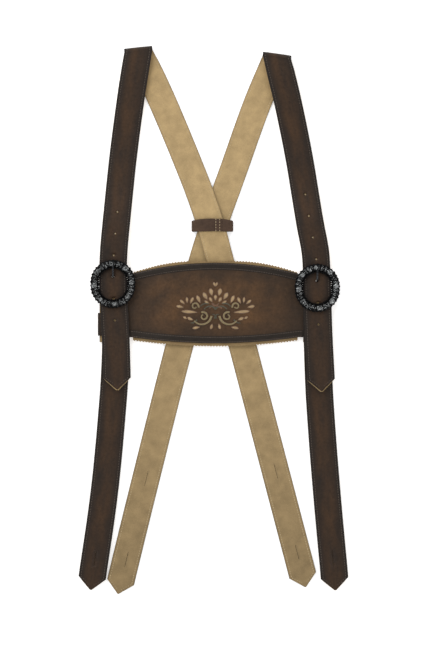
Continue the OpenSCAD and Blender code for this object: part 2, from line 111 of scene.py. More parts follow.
class BuckleSettings(bpy.types.PropertyGroup):
    """Sizes and colours of the wreath buckles."""
    leaf_pitch: length_prop("Leaf pitch", "Distance between the leaves of the wreath", 4.9)
    leaf: length_prop("Leaf", "Length of a cast leaf", 6.4)
    bead: length_prop("Bead", "Radius of the beads between the leaves", 0.85)
    knob: length_prop("Knob", "Radius of the knobs that scallop the rim", 1.35)
    black: colour_prop("Blackened", "Colour of the blackened hollows", "#0c0c0d")
    bright: colour_prop("Rubbed", "Colour of the rubbed high spots", "#c0c3c3")


class BridgeSettings(bpy.types.PropertyGroup):
    """Sizes and colours of the chest bridge, its embroidery and the back keeper."""
    crown: length_prop("Crown", "How far the padded panel swells", 0.9)
    cord: length_prop("Cord", "Radius of the couched cord round the petals", 0.35)
    # the panel's warm middle is painted light on the padded crown and its darkening towards the border is
    # painted shade; the border tone is also the welts' own near-black leather
    panel: colour_prop("Panel", "Warm tone of the panel's middle", "#583e26")
    border: colour_prop("Border", "Dark tone of the panel's border and welts", "#27201a")
    keeper: colour_prop("Keeper", "Colour of the back keeper", "#4d3a2d")
    backing: colour_prop("Backing", "Colour of the pinked suede backing", "#98805b")
    petal: colour_prop("Petals", "Colour of the satin-stitched petals", "#a58961")
    rim: colour_prop("Rims", "Colour of the couched cords", "#6d4a2e")
    stem: colour_prop("Stems", "Colour of the scrolling stems", "#86744d")
    vine: colour_prop("Vines", "Colour of the dark vines between the petals", "#46442f")


class StageSettings(bpy.types.PropertyGroup):
    """Camera, floor and light."""
    height: FloatProperty(name="Camera height", description="Height of the camera above the braces",
                          default=3.0, unit="LENGTH")
    lens: FloatProperty(name="Lens", description="Focal length of the camera", default=131.8, unit="CAMERA")
    key: FloatProperty(name="Key light", description="Power of the large light", default=20, unit="POWER")
    sky: FloatProperty(name="Surround", description="Strength of the surround at the sides", default=1.15)
    zenith: FloatProperty(name="Overhead", description="Strength of the surround above", default=0.3)
    glow: FloatProperty(name="Floor glow", description="How strongly the light table glows", default=0.45)
    floor: colour_prop("Floor", "Colour of the light table", "#fbfbfb")


SETTINGS = {
    "braces_straps": StrapSettings,
    "braces_buckles": BuckleSettings,
    "braces_bridge": BridgeSettings,
    "braces_stage": StageSettings,
}


# ---------------------------------------------------------------- small helpers

def mix(a, b, t):
    """The value at share t of the way from a to b."""
    return a + (b - a) * t


def smooth(t):
    """0 below 0, 1 above 1, and an S curve between."""
    t = min(1.0, max(0.0, t))
    return t * t * (3 - 2 * t)


def box_of(node):
    """(lowest, highest) corner of a node as vectors."""
    low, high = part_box(node)
    return Vector(low), Vector(high)


def add(tree, kind, inputs=None, **settings):
    """Add a node with its settings, and set or link its inputs."""
    made = tree.nodes.new(kind)
    for key, value in settings.items():
        setattr(made, key, value)
    return connect(tree, made, inputs or {})


def connect(tree, made, inputs):
    """Set a node's inputs to values or link them to sockets; a node stands for its first live output."""
    for key, value in inputs.items():
        socket = made.inputs[key]
        if isinstance(value, bpy.types.Node):
            value = next(out for out in value.outputs if out.enabled)
        if isinstance(value, bpy.types.NodeSocket):
            tree.links.new(value, socket)
        else:
            socket.default_value = (*value[:3], 1.0) if socket.type == "RGBA" else value
    return made


def new_object(name, verts, faces, materials, spots=None, uvs=None, sharp=35):
    """A mesh object; spots gives each face's material, uvs each face corner's (along, across)."""
    mesh = bpy.data.meshes.new(name)
    mesh.from_pydata([tuple(v) for v in verts], [], faces)
    for item in materials:
        mesh.materials.append(item)
    if spots:
        mesh.polygons.foreach_set("material_index", spots)
    if uvs:
        layer = mesh.uv_layers.new(name="along_across")
        layer.data.foreach_set("uv", [value for face in uvs for pair in face for value in pair])
    mesh.update()
    made = bpy.data.objects.new(name, mesh)
    bpy.context.scene.collection.objects.link(made)
    tidy_normals(made)
    soften(made, sharp)
    return made


def tidy_normals(made, each=False):
    """Turn every face of a closed piece outwards, shape by shape where it is made of small ones."""
    work = bmesh.new()
    work.from_mesh(made.data)
    bmesh.ops.recalc_face_normals(work, faces=work.faces)
    left = set(work.faces) if each else set()
    while left:
        shape, edge_of = set(), [left.pop()]
        while edge_of:
            face = edge_of.pop()
            shape.add(face)
            near = {other for edge in face.edges for other in edge.link_faces} & left
            left -= near
            edge_of += near
        volume = 0.0
        for face in shape:
            first, *rest = [v.co for v in face.verts]
            volume += sum(first.dot(b.cross(c)) for b, c in zip(rest, rest[1:]))
        if volume < 0:
            bmesh.ops.reverse_faces(work, faces=list(shape))
    work.to_mesh(made.data)
    work.free()


def soften(made, angle=35):
    """Smooth shading that breaks at edges sharper than the angle."""
    made.data.shade_smooth()
    made.data.set_sharp_from_angle(angle=math.radians(angle))


def applied(made):
    """The same object with its modifiers turned into plain mesh."""
    graph = bpy.context.evaluated_depsgraph_get()
    graph.update()
    mesh = bpy.data.meshes.new_from_object(made.evaluated_get(graph))
    made.modifiers.clear()
    old = made.data
    made.data = mesh
    bpy.data.meshes.remove(old)
    return made


def cut_out(made, cutters):
    """Cut closed shapes out of a piece."""
    verts, faces = [], []
    for shape_verts, shape_faces in cutters:
        start = len(verts)
        verts += shape_verts
        faces += [[start + i for i in face] for face in shape_faces]
    tool = new_object("cutter", verts, faces, [])
    change = made.modifiers.new("cut", "BOOLEAN")
    change.object = tool
    change.solver = "MANIFOLD"
    change.operation = "DIFFERENCE"
    applied(made)
    bpy.data.objects.remove(tool)
    return made


def bevelled(made, width, angle=40):
    """Round the sharp edges of a piece."""
    change = made.modifiers.new("bevel", "BEVEL")
    change.width = width
    change.segments = 2
    change.limit_method = "ANGLE"
    change.angle_limit = math.radians(angle)
    applied(made)
    soften(made, 50)
    return made


def handed(piece, body=None, node=None):
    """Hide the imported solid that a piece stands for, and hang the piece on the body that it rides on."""
    if node:
        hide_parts(node)
    if body:
        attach(piece, body)


def prism(outline, low, high):
    """(verts, faces) of an upright prism over a plan outline."""
    n = len(outline)
    verts = [(x, y, z) for z in (low, high) for x, y in outline]
    walls = [[i, (i + 1) % n, n + (i + 1) % n, n + i] for i in range(n)]
    return verts, walls + [list(range(n))[::-1], list(range(n, 2 * n))]


def disc_outline(x, y, radius, steps=20):
    """A circle's points in plan."""
    turns = [math.tau * i / steps for i in range(steps)]
    return [(x + radius * math.cos(a), y + radius * math.sin(a)) for a in turns]


def slot_outline(x, y, run, length, width, steps=8):
    """A slit's points in plan, along the direction run, with round ends."""
    side = Vector((-run.y, run.x))
    points = []
    for sign in (1, -1):
        for i in range(steps + 1):
            a = math.pi * (i / steps - 0.5)
            way = run * math.cos(a) * sign + side * math.sin(a) * sign
            spot = Vector((x, y)) + run * sign * (length - width) / 2 + way * width / 2
            points.append((spot.x, spot.y))
    return points


# ---------------------------------------------------------------- strap runs read from the frame

class Run:
    """The middle line of one flat strap run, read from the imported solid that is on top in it."""
    MARGIN_END = 27 * MM

    def __init__(self, node, margin_start, doubled=None):
        # doubled is (y, z): above this y only what lies over this z is the run; under it is a folded ply
        self.doubled = doubled
        self.straps = bpy.context.scene.braces_straps
        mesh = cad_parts[node].data
        co = np.empty(len(mesh.vertices) * 3)
        mesh.vertices.foreach_get("co", co)
        ends = np.empty(len(mesh.edges) * 2, int)
        mesh.edges.foreach_get("vertices", ends)
        self.points, self.edges = co.reshape(-1, 3), ends.reshape(-1, 2)
        tip_y = self.points[:, 1].min()
        tip = self.points[self.points[:, 1] < tip_y + 0.05 * MM]
        self.tip = Vector((tip[:, 0].mean(), tip_y, tip[:, 2].max()))
        self.clear_high = self.points[:, 1].max() - margin_start
        self.clear_low = tip_y + self.MARGIN_END

    def slice(self, y):
        """(x of the middle, z of the top face) where the solid is cut at y."""
        a, b = self.points[self.edges[:, 0]], self.points[self.edges[:, 1]]
        fa, fb = a[:, 1] - y, b[:, 1] - y
        hit = fa * fb < 0
        t = (fa[hit] / (fa[hit] - fb[hit]))[:, None]
        spots = a[hit] + (b[hit] - a[hit]) * t
        if self.doubled and y > self.doubled[0]:
            spots = spots[spots[:, 2] > self.doubled[1]]
        left, right = spots[:, 0].min(), spots[:, 0].max()
        rim = 0.2 * MM
        left_top = spots[spots[:, 0] < left + rim][:, 2].max()
        right_top = spots[spots[:, 0] > right - rim][:, 2].max()
        return (left + right) / 2, (left_top + right_top) / 2

    def under(self, y):
        """A point on the middle of the underside at y."""
        thick = self.straps.leather + self.straps.lining
        x, z = self.slice(min(self.clear_high, max(self.clear_low, y)))
        if y < self.clear_low:
            x = mix(x, self.tip.x, (self.clear_low - y) / (self.clear_low - self.tip.y))
        return Vector((x, y, z - thick))

    def way(self, y):
        """Unit vector down the run at y, in plan."""
        step = 3 * MM
        y = min(y, self.clear_high - step)
        a, b = self.under(y + step), self.under(max(y - step, self.tip.y))
        return Vector((b.x - a.x, b.y - a.y)).normalized()


class Station:
    """One cross-section of a strap: its middle, its sideways and upward unit vectors, its half width."""

    def __init__(self, middle, side, up, half, along, tip=0.0):
        self.middle, self.side, self.up, self.half = middle, side, up, half
        self.along, self.tip = along, tip


def wave(along, seed, size):
    """A slow uneven swell of the leather, never below 0."""
    swell = math.sin(along / 0.047 + seed) + 0.6 * math.sin(along / 0.021 + seed * 2.3)
    return size * (0.5 + swell / 3.2)


STEP = 4 * MM           # from one cross-section of a run to the next
EASE = 30 * MM          # over which a run's swell dies away to flat


def run_stations(run, start_y, seed, flat_from, flat_to, swell):
    """Stations from start_y down to the pointed tip; the run lies quite flat between the two given y."""
    straps = run.straps
    corner = run.tip.y + straps.tip
    ys = list(np.linspace(start_y, corner + STEP, max(2, round((start_y - corner) / STEP))))
    ys += [run.tip.y + share * straps.tip for share in (1.12, 1.0, 0.88, 0.66, 0.44, 0.22, 0.08, 0.0)]
    stations = []
    for y in ys:
        way = run.way(y)
        share = (y - run.tip.y) / straps.tip
        half = straps.width / 2 * min(1.0, 0.035 + 0.965 * share)
        middle = run.under(y)
        level = smooth((flat_from + EASE - y) / EASE) * smooth((y - flat_to + EASE) / EASE)
        middle.z += wave(start_y - y, seed, swell) * (1 - level)
        stations.append(Station(middle, Vector((-way.y, way.x, 0)), UP.copy(), half, start_y - y,
                                1 - min(1.0, max(0.0, share - 0.1))))
    return stations


def layer_profile(back, face, proud, straps):
    """The closed section of a layer of leather as (side, inset, height, cut); face is its good side."""
    out = 1 if face > back else -1
    edge = 0.32 * MM        # the rounded edge
    dip = 0.2 * MM          # the groove that the stitches lie in, and half its width
    groove = 0.7 * MM
    swell = 0.12 * MM       # how far the middle stands higher than the edges
    half = [
        (1, 0.0, back + out * 0.1 * MM, 1), (1, 0.0, face - out * edge, 0),
        (1, 0.1 * MM, face - out * 0.1 * MM, 0), (1, edge, face, 0),
        (1, straps.seam - groove, face, 0), (1, straps.seam, face - out * dip, 0),
        (1, straps.seam + groove, face, 0), (0.6, 0, face + out * swell * 0.6, 0),
        (0.3, 0, face + out * swell * 0.9, 0), (0.0, 0, face + out * swell, 0)
    ]
    section = [(s, inset - proud * (s == 1), h, cut) for s, inset, h, cut in half]
    other = [(-s, inset, h, 0) for s, inset, h, _ in section[-2::-1]]
    other[-1] = (*other[-1][:3], 0)
    other[-2] = (*other[-2][:3], 1)
    closing = [(-1, 0.15 * MM - proud, back, 0), (1, 0.15 * MM - proud, back, 0)]
    return section + other + closing


def sweep(name, stations, profile, materials):
    """A closed piece swept through the stations, with (along, across) on every face corner."""
    count = len(profile)
    verts, flat = [], []
    full = max(s.half for s in stations)
    for s in stations:
        squeeze = min(1.0, s.half / full)
        for side, inset, height, _ in profile:
            reach = s.half - inset * (squeeze if inset > 0 else 1.0) if abs(side) == 1 else s.half
            across = side * reach
            verts.append(s.middle + s.side * across + s.up * height)
            flat.append((s.along, across))
    faces, spots, uvs = [], [], []
    for i in range(len(stations) - 1):
        for k in range(count):
            nxt = (k + 1) % count
            face = [i * count + k, i * count + nxt, (i + 1) * count + nxt, (i + 1) * count + k]
            faces.append(face)
            spots.append(profile[k][3] if len(materials) > 1 else 0)
            uvs.append([flat[v] for v in face])
    for ring in (range(count - 1, -1, -1), range((len(stations) - 1) * count, len(stations) * count)):
        face = list(ring)
        faces.append(face)
        spots.append(len(materials) - 1)
        uvs.append([flat[v] for v in face])
    return new_object(name, verts, faces, materials, spots, uvs)


def fold_line(side):
    """(middle, sideways unit vector, half width, axis height) of the shoulder bend's fold line."""
    node = f"{side}_shoulder_bend_outer"
    low, high = box_of(node)
    corners = [v.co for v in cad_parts[node].data.vertices if v.co.z < low.z + 0.01 * MM]
    left = min(corners, key=lambda c: c.x)
    right = max(corners, key=lambda c: c.x)
    middle = (left + right) / 2
    half = (right - left) / 2
    return Vector((middle.x, middle.y, 0)), half.normalized(), half.length, (low.z + high.z) / 2


FIRST = 6 * MM          # from the fold line to the next cross-section


def from_fold(side, run, stations, height):
    """Start a run with its section along the fold line, and turn it square over the next few."""
    middle, across, half, _ = fold_line(side)
    target = run.under(run.clear_high)
    for s in stations:
        if s.middle.y > run.clear_high:
            t = (s.middle.y - run.clear_high) / (middle.y - run.clear_high)
            reach = (s.side * s.half).lerp(across * half, t)
            s.side, s.half = reach.normalized(), reach.length
            s.middle.x = mix(target.x, middle.x, t)
            s.middle.z = mix(s.middle.z, height, smooth(t))
    return [Station(middle + UP * height, across, UP.copy(), half, -FIRST)] + stations


def outlined(stations, by):
    """The same run with its point drawn out sideways and lengthways."""
    wider = []
    for s in stations:
        grown = min(1.0, s.tip * 3) * by
        middle = s.middle - Vector((0, grown * s.tip, 0))
        wider.append(Station(middle, s.side, s.up, s.half + grown, s.along, s.tip))
    return wider


# ---------------------------------------------------------------- materials

MADE = {}


def made_once(build):
    """Let a material be made the first time it is asked for."""
    def ask():
        if build.__name__ not in MADE:
            MADE[build.__name__] = build()
        return MADE[build.__name__]
    return ask


NOISE, RANGE, MATH, MIX = "ShaderNodeTexNoise", "ShaderNodeMapRange", "ShaderNodeMath", "ShaderNodeMix"
BUMP, SPLIT = "ShaderNodeBump", "ShaderNodeSeparateXYZ"


def start_material(name):
    """(material, node tree, shader, Object coordinates) of a new material."""
    item = bpy.data.materials.new(name)
    item.use_nodes = True
    tree = item.node_tree
    tree.nodes.clear()
    shader = add(tree, "ShaderNodeBsdfPrincipled")
    add(tree, "ShaderNodeOutputMaterial", {"Surface": shader})
    place = add(tree, "ShaderNodeTexCoord").outputs["Object"]
    return item, tree, shader, place


def across_strap(tree):
    """(distance from the middle line, place stretched along the strap) from a strap's own coordinates."""
    flat = add(tree, "ShaderNodeUVMap", uv_map="along_across")
    off = add(tree, MATH, {0: add(tree, SPLIT, {0: flat}).outputs[1]}, operation="ABSOLUTE")
    return off, add(tree, "ShaderNodeVectorMath", {0: flat, 1: (0.3, 1, 1)}, operation="MULTIPLY")


def dimmed(tree, tone, *shares):
    """A colour multiplied by the product of some values."""
    value = shares[0]
    for share in shares[1:]:
        value = add(tree, MATH, {0: value, 1: share}, operation="MULTIPLY")
    grey = add(tree, "ShaderNodeCombineXYZ", {0: value, 1: value, 2: value})
    return add(tree, MIX, {0: 1.0, 6: tone, 7: grey}, data_type="RGBA", blend_type="MULTIPLY")


def clouded(tree, pattern, colour, low, high):
    """A colour that wanders from low to high times itself, as a pattern goes from 0.3 to 0.7."""
    share = add(tree, RANGE, {0: pattern, 1: 0.3, 2: 0.7})
    return add(tree, MIX, {0: share, 6: [c * low for c in colour], 7: [min(1, c * high) for c in colour]},
               data_type="RGBA")


def leather_material(name, dark, patch_and_painted_light, patch=28 * MM, streak=False, centre=None):
    """Full-grain cowhide, drum dyed and waxed: uneven brown, fine pores, a soft sheen on the high spots; with
    streak, a painted sheen along a strap's middle; with centre, painted light in the middle and painted shade
    outwards.
    """
    item, tree, shader, place = start_material(name)
    fine = add(tree, NOISE, {"Vector": place, "Scale": 1 / (3.5 * MM), "Detail": 6, "Roughness": 0.65})
    if streak:
        off, drawn = across_strap(tree)
        cloud = add(tree, NOISE, {"Vector": drawn, "Scale": 1 / (16 * MM), "Detail": 5, "Roughness": 0.6})
        cloud = add(tree, RANGE, {0: cloud, 1: 0.32, 2: 0.62, 3: 0.15})
        # painted sheen: the warm tone lies only within 5 to 15 mm of the strap's middle line, so the edges
        # stay dark
        rubbed_and_painted_light = add(tree, RANGE, {0: off, 1: 5 * MM, 2: 15 * MM, 3: 1.0, 4: 0.0})
        share = add(tree, MATH, {0: cloud, 1: rubbed_and_painted_light}, operation="MULTIPLY")
    else:
        cloud = add(tree, NOISE, {"Vector": place, "Scale": 1 / patch, "Detail": 5, "Roughness": 0.6})
        share = add(tree, RANGE, {0: cloud, 1: 0.34, 2: 0.66, 3: 0.35 if centre else 0.0})
    if centre:
        # painted light, warm, in the middle of the padded panel, and painted shade darker outwards; centre is
        # (x, y, half width, half height)
        parts = add(tree, SPLIT, {0: place}).outputs
        for axis in (0, 1):
            off = add(tree, MATH, {0: parts[axis], 1: centre[axis]}, operation="SUBTRACT")
            off = add(tree, MATH, {0: off}, operation="ABSOLUTE")
            reach = centre[2 + axis]
            rubbed_and_painted_light = add(tree, RANGE, {0: off, 1: 0.45 * reach, 2: reach, 3: 1.0, 4: 0.3})
            share = add(tree, MATH, {0: share, 1: rubbed_and_painted_light}, operation="MULTIPLY")
    tone = add(tree, MIX, {0: share, 6: dark, 7: patch_and_painted_light}, data_type="RGBA")
    tone = dimmed(tree, tone, add(tree, RANGE, {0: fine, 1: 0.3, 2: 0.75, 3: 0.8, 4: 1.2}))
    # the pores of cowhide are about 0.2 mm apart; they are drawn 1.1 mm apart so that they show
    pores = add(tree, "ShaderNodeTexVoronoi", {"Vector": place, "Scale": 1 / (1.1 * MM)})
    pore = add(tree, BUMP, {"Strength": 0.35, "Distance": 0.12 * MM, "Height": pores})
    creased = add(tree, BUMP, {"Strength": 0.5, "Distance": 0.5 * MM, "Height": fine, "Normal": pore})
    gloss = add(tree, RANGE, {0: fine, 1: 0.3, 2: 0.7, 3: 0.7, 4: 0.5})
    connect(tree, shader, {"Base Color": tone, "Roughness": gloss, "Normal": creased,
                           "Specular IOR Level": 0.22})
    return item


def suede_material(name, colour, shade=0.78, nap=14 * MM, strap=False):
    """Split hide brushed to a nap: matt, cloudy where the nap lies over, with a fibrous fuzz."""
    item, tree, shader, place = start_material(name)
    cloud = add(tree, NOISE, {"Vector": place, "Scale": 1 / nap, "Detail": 5, "Roughness": 0.6})
    # suede fibres are far finer than a millimetre; the fuzz is drawn at 0.9 mm so that it shows
    fibre = add(tree, NOISE, {"Vector": place, "Scale": 1 / (0.9 * MM), "Detail": 4, "Roughness": 0.7})
    tone = clouded(tree, cloud, colour, shade, 1.08)
    tone = dimmed(tree, tone, add(tree, RANGE, {0: fibre, 1: 0.25, 2: 0.75, 3: 0.84, 4: 1.14}))
    if strap:
        # the suede darkens towards its lower ends, near the buttonholes, and along its cut edges
        up = add(tree, SPLIT, {0: place}).outputs[1]
        off, _ = across_strap(tree)
        tone = dimmed(tree, tone, add(tree, RANGE, {0: up, 1: -350 * MM, 2: 150 * MM, 3: 0.58}),
                      add(tree, RANGE, {0: off, 1: 15.9 * MM, 2: 17.3 * MM, 3: 1.0, 4: 0.55}))
    fuzz = add(tree, BUMP, {"Strength": 0.6, "Distance": 0.25 * MM, "Height": fibre})
    connect(tree, shader, {"Base Color": tone, "Normal": fuzz, "Roughness": 0.93, "Sheen Weight": 0.15,
                           "Sheen Roughness": 0.5, "Specular IOR Level": 0.2})
    return item


@made_once
def waxed_cowhide():
    """The straps' leather: streaked along its length, with a painted brown sheen along its middle."""
    straps = bpy.context.scene.braces_straps
    return leather_material("waxed_cowhide", straps.dark, straps.patch_and_painted_light, streak=True)


@made_once
def panel_cowhide():
    """The bridge's leather: painted light, warm brown, in the middle of the chest, with painted shade towards
    its edges.
    """
    bridge = bpy.context.scene.braces_bridge
    low, high = box_of("bridge_front_panel")
    return leather_material("panel_cowhide", bridge.border, bridge.panel, 26 * MM,
                            centre=(*((low + high) / 2)[:2], 112 * MM, 46 * MM))


@made_once
def welt_cowhide():
    """The welts' leather: thinner and nearly black."""
    bridge = bpy.context.scene.braces_bridge
    return leather_material("welt_cowhide", [c * 0.8 for c in bridge.border], bridge.border, 20 * MM)


@made_once
def keeper_cowhide():
    """The keeper's leather: lighter, from sliding along the straps."""
    bridge = bpy.context.scene.braces_bridge
    return leather_material("keeper_cowhide", [c * 0.7 for c in bridge.keeper], bridge.keeper, 16 * MM)


@made_once
def lining_suede():
    """The straps' lining: tan suede, darker towards its lower ends near the buttonholes."""
    return suede_material("lining_suede", bpy.context.scene.braces_straps.suede, strap=True)


@made_once
def pinked_suede():
    """The bridge's backing and filling: suede with a shorter nap."""
    return suede_material("pinked_suede", bpy.context.scene.braces_bridge.backing, 0.8, 9 * MM)


@made_once
def raw_edge():
    """The cut edge of vegetable-tanned hide, waxed and rubbed: tan, with the layers' fibres along it."""
    return suede_material("raw_hide_edge", bpy.context.scene.braces_straps.cut, 0.7, 6 * MM)


@made_once
def dark_edge():
    """The cut edge of the dark leather, burnished with dye."""
    return leather_material("burnished_edge", linear("#26211e"), linear("#3a2d22"), 9 * MM)


@made_once
def antiqued_cast():
    """Zinc casting, blackened and rubbed: near-black hollows, greyer where high leaves are rubbed bright."""
    buckles = bpy.context.scene.braces_buckles
    item, tree, shader, place = start_material("antiqued_zinc_cast")
    top = box_of("left_buckle_ring")[1].z
    height = add(tree, SPLIT, {0: place}).outputs[2]
    grit = add(tree, NOISE, {"Vector": place, "Scale": 1 / (1.6 * MM), "Detail": 5, "Roughness": 0.65})
    patch = add(tree, NOISE, {"Vector": place, "Scale": 1 / (7 * MM), "Detail": 3, "Roughness": 0.55})
    rubbed_and_painted_light = add(tree, RANGE, {0: height, 1: top + 0.02 * MM, 2: top + 0.62 * MM})
    for share in (add(tree, RANGE, {0: patch, 1: 0.35, 2: 0.6, 3: 0.35}),
                  add(tree, RANGE, {0: grit, 1: 0.45, 2: 0.54})):
        rubbed_and_painted_light = add(tree, MATH, {0: rubbed_and_painted_light, 1: share}, operation="MULTIPLY")
    tone = add(tree, MIX, {0: rubbed_and_painted_light, 6: buckles.black, 7: buckles.bright}, data_type="RGBA")
    gloss = add(tree, RANGE, {0: grit, 1: 0.3, 2: 0.7, 3: 0.62, 4: 0.34})
    rough = add(tree, BUMP, {"Strength": 0.5, "Distance": 0.2 * MM, "Height": grit})
    connect(tree, shader, {"Base Color": tone, "Roughness": gloss, "Normal": rough, "Metallic": 0.85})
    return item


@made_once
def blackened_wire():
    """Drawn steel wire, blackened in oil: dark, with bright rubbing along its length."""
    item, tree, shader, place = start_material("blackened_steel_wire")
    streaks = add(tree, NOISE, {"Vector": place, "Scale": 1 / (1.2 * MM), "Detail": 3, "Roughness": 0.55})
    share = add(tree, RANGE, {0: streaks, 1: 0.35, 2: 0.65})
    tone = add(tree, MIX, {0: share, 6: linear("#1b1b1d"), 7: linear("#4d4e50")}, data_type="RGBA")
    gloss = add(tree, RANGE, {0: streaks, 1: 0.3, 2: 0.7, 3: 0.28, 4: 0.45})
    connect(tree, shader, {"Base Color": tone, "Roughness": gloss, "Metallic": 1.0})
    return item


def thread_material(name, colour):
    """Twisted linen or silk: soft highlights across the ply, darker between the strands."""
    item, tree, shader, place = start_material(name)
    # the plies are far finer; they are drawn 0.9 mm apart so that they show
    strands = add(tree, NOISE, {"Vector": place, "Scale": 1 / (0.9 * MM), "Detail": 3, "Roughness": 0.6})
    twist = add(tree, BUMP, {"Strength": 0.5, "Distance": 0.15 * MM, "Height": strands})
    connect(tree, shader, {"Base Color": clouded(tree, strands, colour, 0.6, 1.15), "Normal": twist,
                           "Roughness": 0.6, "Sheen Weight": 0.3})
    return item


@made_once
def seam_thread():
    """Waxed linen that sews the linings and the keeper: pale, for show."""
    return thread_material("waxed_linen_thread", bpy.context.scene.braces_straps.thread)


@made_once
def dark_seam_thread():
    """Brown linen on the dark leather, hardly lighter than it."""
    return thread_material("brown_linen_thread", bpy.context.scene.braces_straps.dark_thread)


@made_once
def couched_cord():
    """Silk cord laid round the petals and sewn down: a dull red-brown rim."""
    return thread_material("couched_silk_cord", bpy.context.scene.braces_bridge.rim)


@made_once
def stem_thread():
    """Olive silk of the scrolling stems."""
    return thread_material("olive_silk_thread", bpy.context.scene.braces_bridge.stem)


@made_once
def vine_thread():
    """Moss green silk of the vines, nearly as dark as the leather."""
    return thread_material("moss_green_thread", bpy.context.scene.braces_bridge.vine)


@made_once
def satin_stitch():
    """Satin stitch in tan silk: threads laid side by side across the petal, shining along their run."""
    colour = bpy.context.scene.braces_bridge.petal
    item, tree, shader, place = start_material("satin_stitch_silk")
    flat = add(tree, "ShaderNodeTexCoord").outputs["UV"]
    # silk threads lie about 0.3 mm apart; they are drawn 0.9 mm apart so that they show
    rows = add(tree, "ShaderNodeTexWave", {"Vector": flat, "Scale": 1 / (0.9 * MM) / math.tau * 2,
                                           "Distortion": 0.6}, bands_direction="DIAGONAL").outputs[1]
    patch = add(tree, NOISE, {"Vector": place, "Scale": 1 / (5 * MM), "Detail": 3, "Roughness": 0.55})
    # painted shade: the dark lines between the rows of thread stand for the shade in the furrows between them
    gap = add(tree, RANGE, {0: rows, 1: 0.0, 2: 0.6, 3: 0.35, 4: 0.0})
    tone = add(tree, MIX, {0: gap, 6: clouded(tree, patch, colour, 0.72, 1.15),
                           7: [c * 0.4 for c in colour]}, data_type="RGBA")
    ridge = add(tree, BUMP, {"Strength": 0.6, "Distance": 0.2 * MM, "Height": rows})
    connect(tree, shader, {"Base Color": tone, "Normal": ridge, "Roughness": 0.48, "Sheen Weight": 0.3})
    return item


# ---------------------------------------------------------------- geometry nodes

SEED = 7                # of the sizes of the copies laid along guides


def laid_tree():
    """Copies of a small shape laid along guide lines, each on the side that the guide's face points to."""
    if "laid_along_guides" in bpy.data.node_groups:
        return bpy.data.node_groups["laid_along_guides"]
    tree = bpy.data.node_groups.new("laid_along_guides", "GeometryNodeTree")
    sockets = (("Guides", "Geometry"), ("Shape", "Object"), ("Pitch", "Float"), ("Turn", "Float"),
               ("Spread", "Float"), ("Finish", "Material"))
    for name, kind in sockets:
        tree.interface.new_socket(name, in_out="INPUT", socket_type=f"NodeSocket{kind}")
    tree.interface.new_socket("Laid", in_out="OUTPUT", socket_type="NodeSocketGeometry")
    source = add(tree, "NodeGroupInput").outputs
    curve = add(tree, "GeometryNodeMeshToCurve", {0: source["Guides"]})
    spots = add(tree, "GeometryNodeResampleCurve", {"Curve": curve, "Length": source["Pitch"]},
                mode="LENGTH")
    face = add(tree, "GeometryNodeInputNamedAttribute", {"Name": "face"}, data_type="FLOAT_VECTOR")
    upright = add(tree, "FunctionNodeAlignRotationToVector", {"Vector": face}, axis="Z")
    tangent = add(tree, "GeometryNodeInputTangent")
    lined = add(tree, "FunctionNodeAlignRotationToVector", {"Rotation": upright, "Vector": tangent},
                axis="X", pivot_axis="Z")
    swing = add(tree, "FunctionNodeAxisAngleToRotation", {"Axis": (0, 0, 1), "Angle": source["Turn"]})
    turned = add(tree, "FunctionNodeRotateRotation", {"Rotation": lined, "Rotate By": swing},
                 rotation_space="LOCAL")
    least = add(tree, MATH, {0: 1.0, 1: source["Spread"]}, operation="SUBTRACT")
    most = add(tree, MATH, {0: 1.0, 1: source["Spread"]}, operation="ADD")
    size = add(tree, "FunctionNodeRandomValue", {2: least, 3: most, 8: SEED}, data_type="FLOAT").outputs[1]
    shape = add(tree, "GeometryNodeObjectInfo", {"Object": source["Shape"]}).outputs["Geometry"]
    copies = add(tree, "GeometryNodeInstanceOnPoints",
                 {"Points": spots, "Instance": shape, "Rotation": turned, "Scale": size})
    real = add(tree, "GeometryNodeRealizeInstances", {0: copies})
    dressed = add(tree, "GeometryNodeSetMaterial", {"Geometry": real, "Material": source["Finish"]})
    add(tree, "NodeGroupOutput", {0: dressed})
    return tree


def laid(name, guides, shape, pitch, finish, turn=0.0, spread=0.0):
    """One plain mesh of the shape laid along all guides; a guide is (points, faces, closed)."""
    mesh = bpy.data.meshes.new(name)
    points, ways, edges = [], [], []
    for line, faces, closed in guides:
        start = len(points)
        points += [tuple(p) for p in line]
        ways += list(faces)
        edges += [(start + i, start + i + 1) for i in range(len(line) - 1)]
        if closed:
            edges.append((start + len(line) - 1, start))
    mesh.from_pydata(points, edges, [])
    face = mesh.attributes.new("face", "FLOAT_VECTOR", "POINT")
    face.data.foreach_set("vector", [value for way in ways for value in way])
    made = bpy.data.objects.new(name, mesh)
    bpy.context.scene.collection.objects.link(made)
    tree = laid_tree()
    change = made.modifiers.new("laid", "NODES")
    change.node_group = tree
    values = {"Shape": shape, "Pitch": pitch, "Turn": turn, "Spread": spread, "Finish": finish}
    for item in tree.interface.items_tree:
        if item.name in values:
            change[item.identifier] = values[item.name]
    applied(made)
    soften(made, 60)
    return made


def banded(rings, around, start=0, closed=False):
    """Faces between each ring of points and the next, and from the last to the first where it is closed."""
    faces = []
    for r in range(rings if closed else rings - 1):
        here, there = start + r * around, start + (r + 1) % rings * around
        faces += [[here + i, here + (i + 1) % around, there + (i + 1) % around, there + i]
                  for i in range(around)]
    return faces


def stitch_shape(length, width, height):
    """One stitch: a thread that dips into the leather at both ends."""
    rings = ((-0.5, 0.25, -0.5), (-0.36, 0.85, 0.0), (0.0, 1.0, 0.25), (0.36, 0.85, 0.0), (0.5, 0.25, -0.5))
    sides = 6
    verts = []
    for x, fat, rise in rings:
        for i in range(sides):
            a = math.tau * i / sides
            verts.append((x * length, math.cos(a) * fat * width / 2, (math.sin(a) * fat + rise) * height / 2))
    faces = banded(len(rings), sides)
    faces += [list(range(sides))[::-1], list(range((len(rings) - 1) * sides, len(rings) * sides))]
    return new_object("stitch_shape", verts, faces, [])


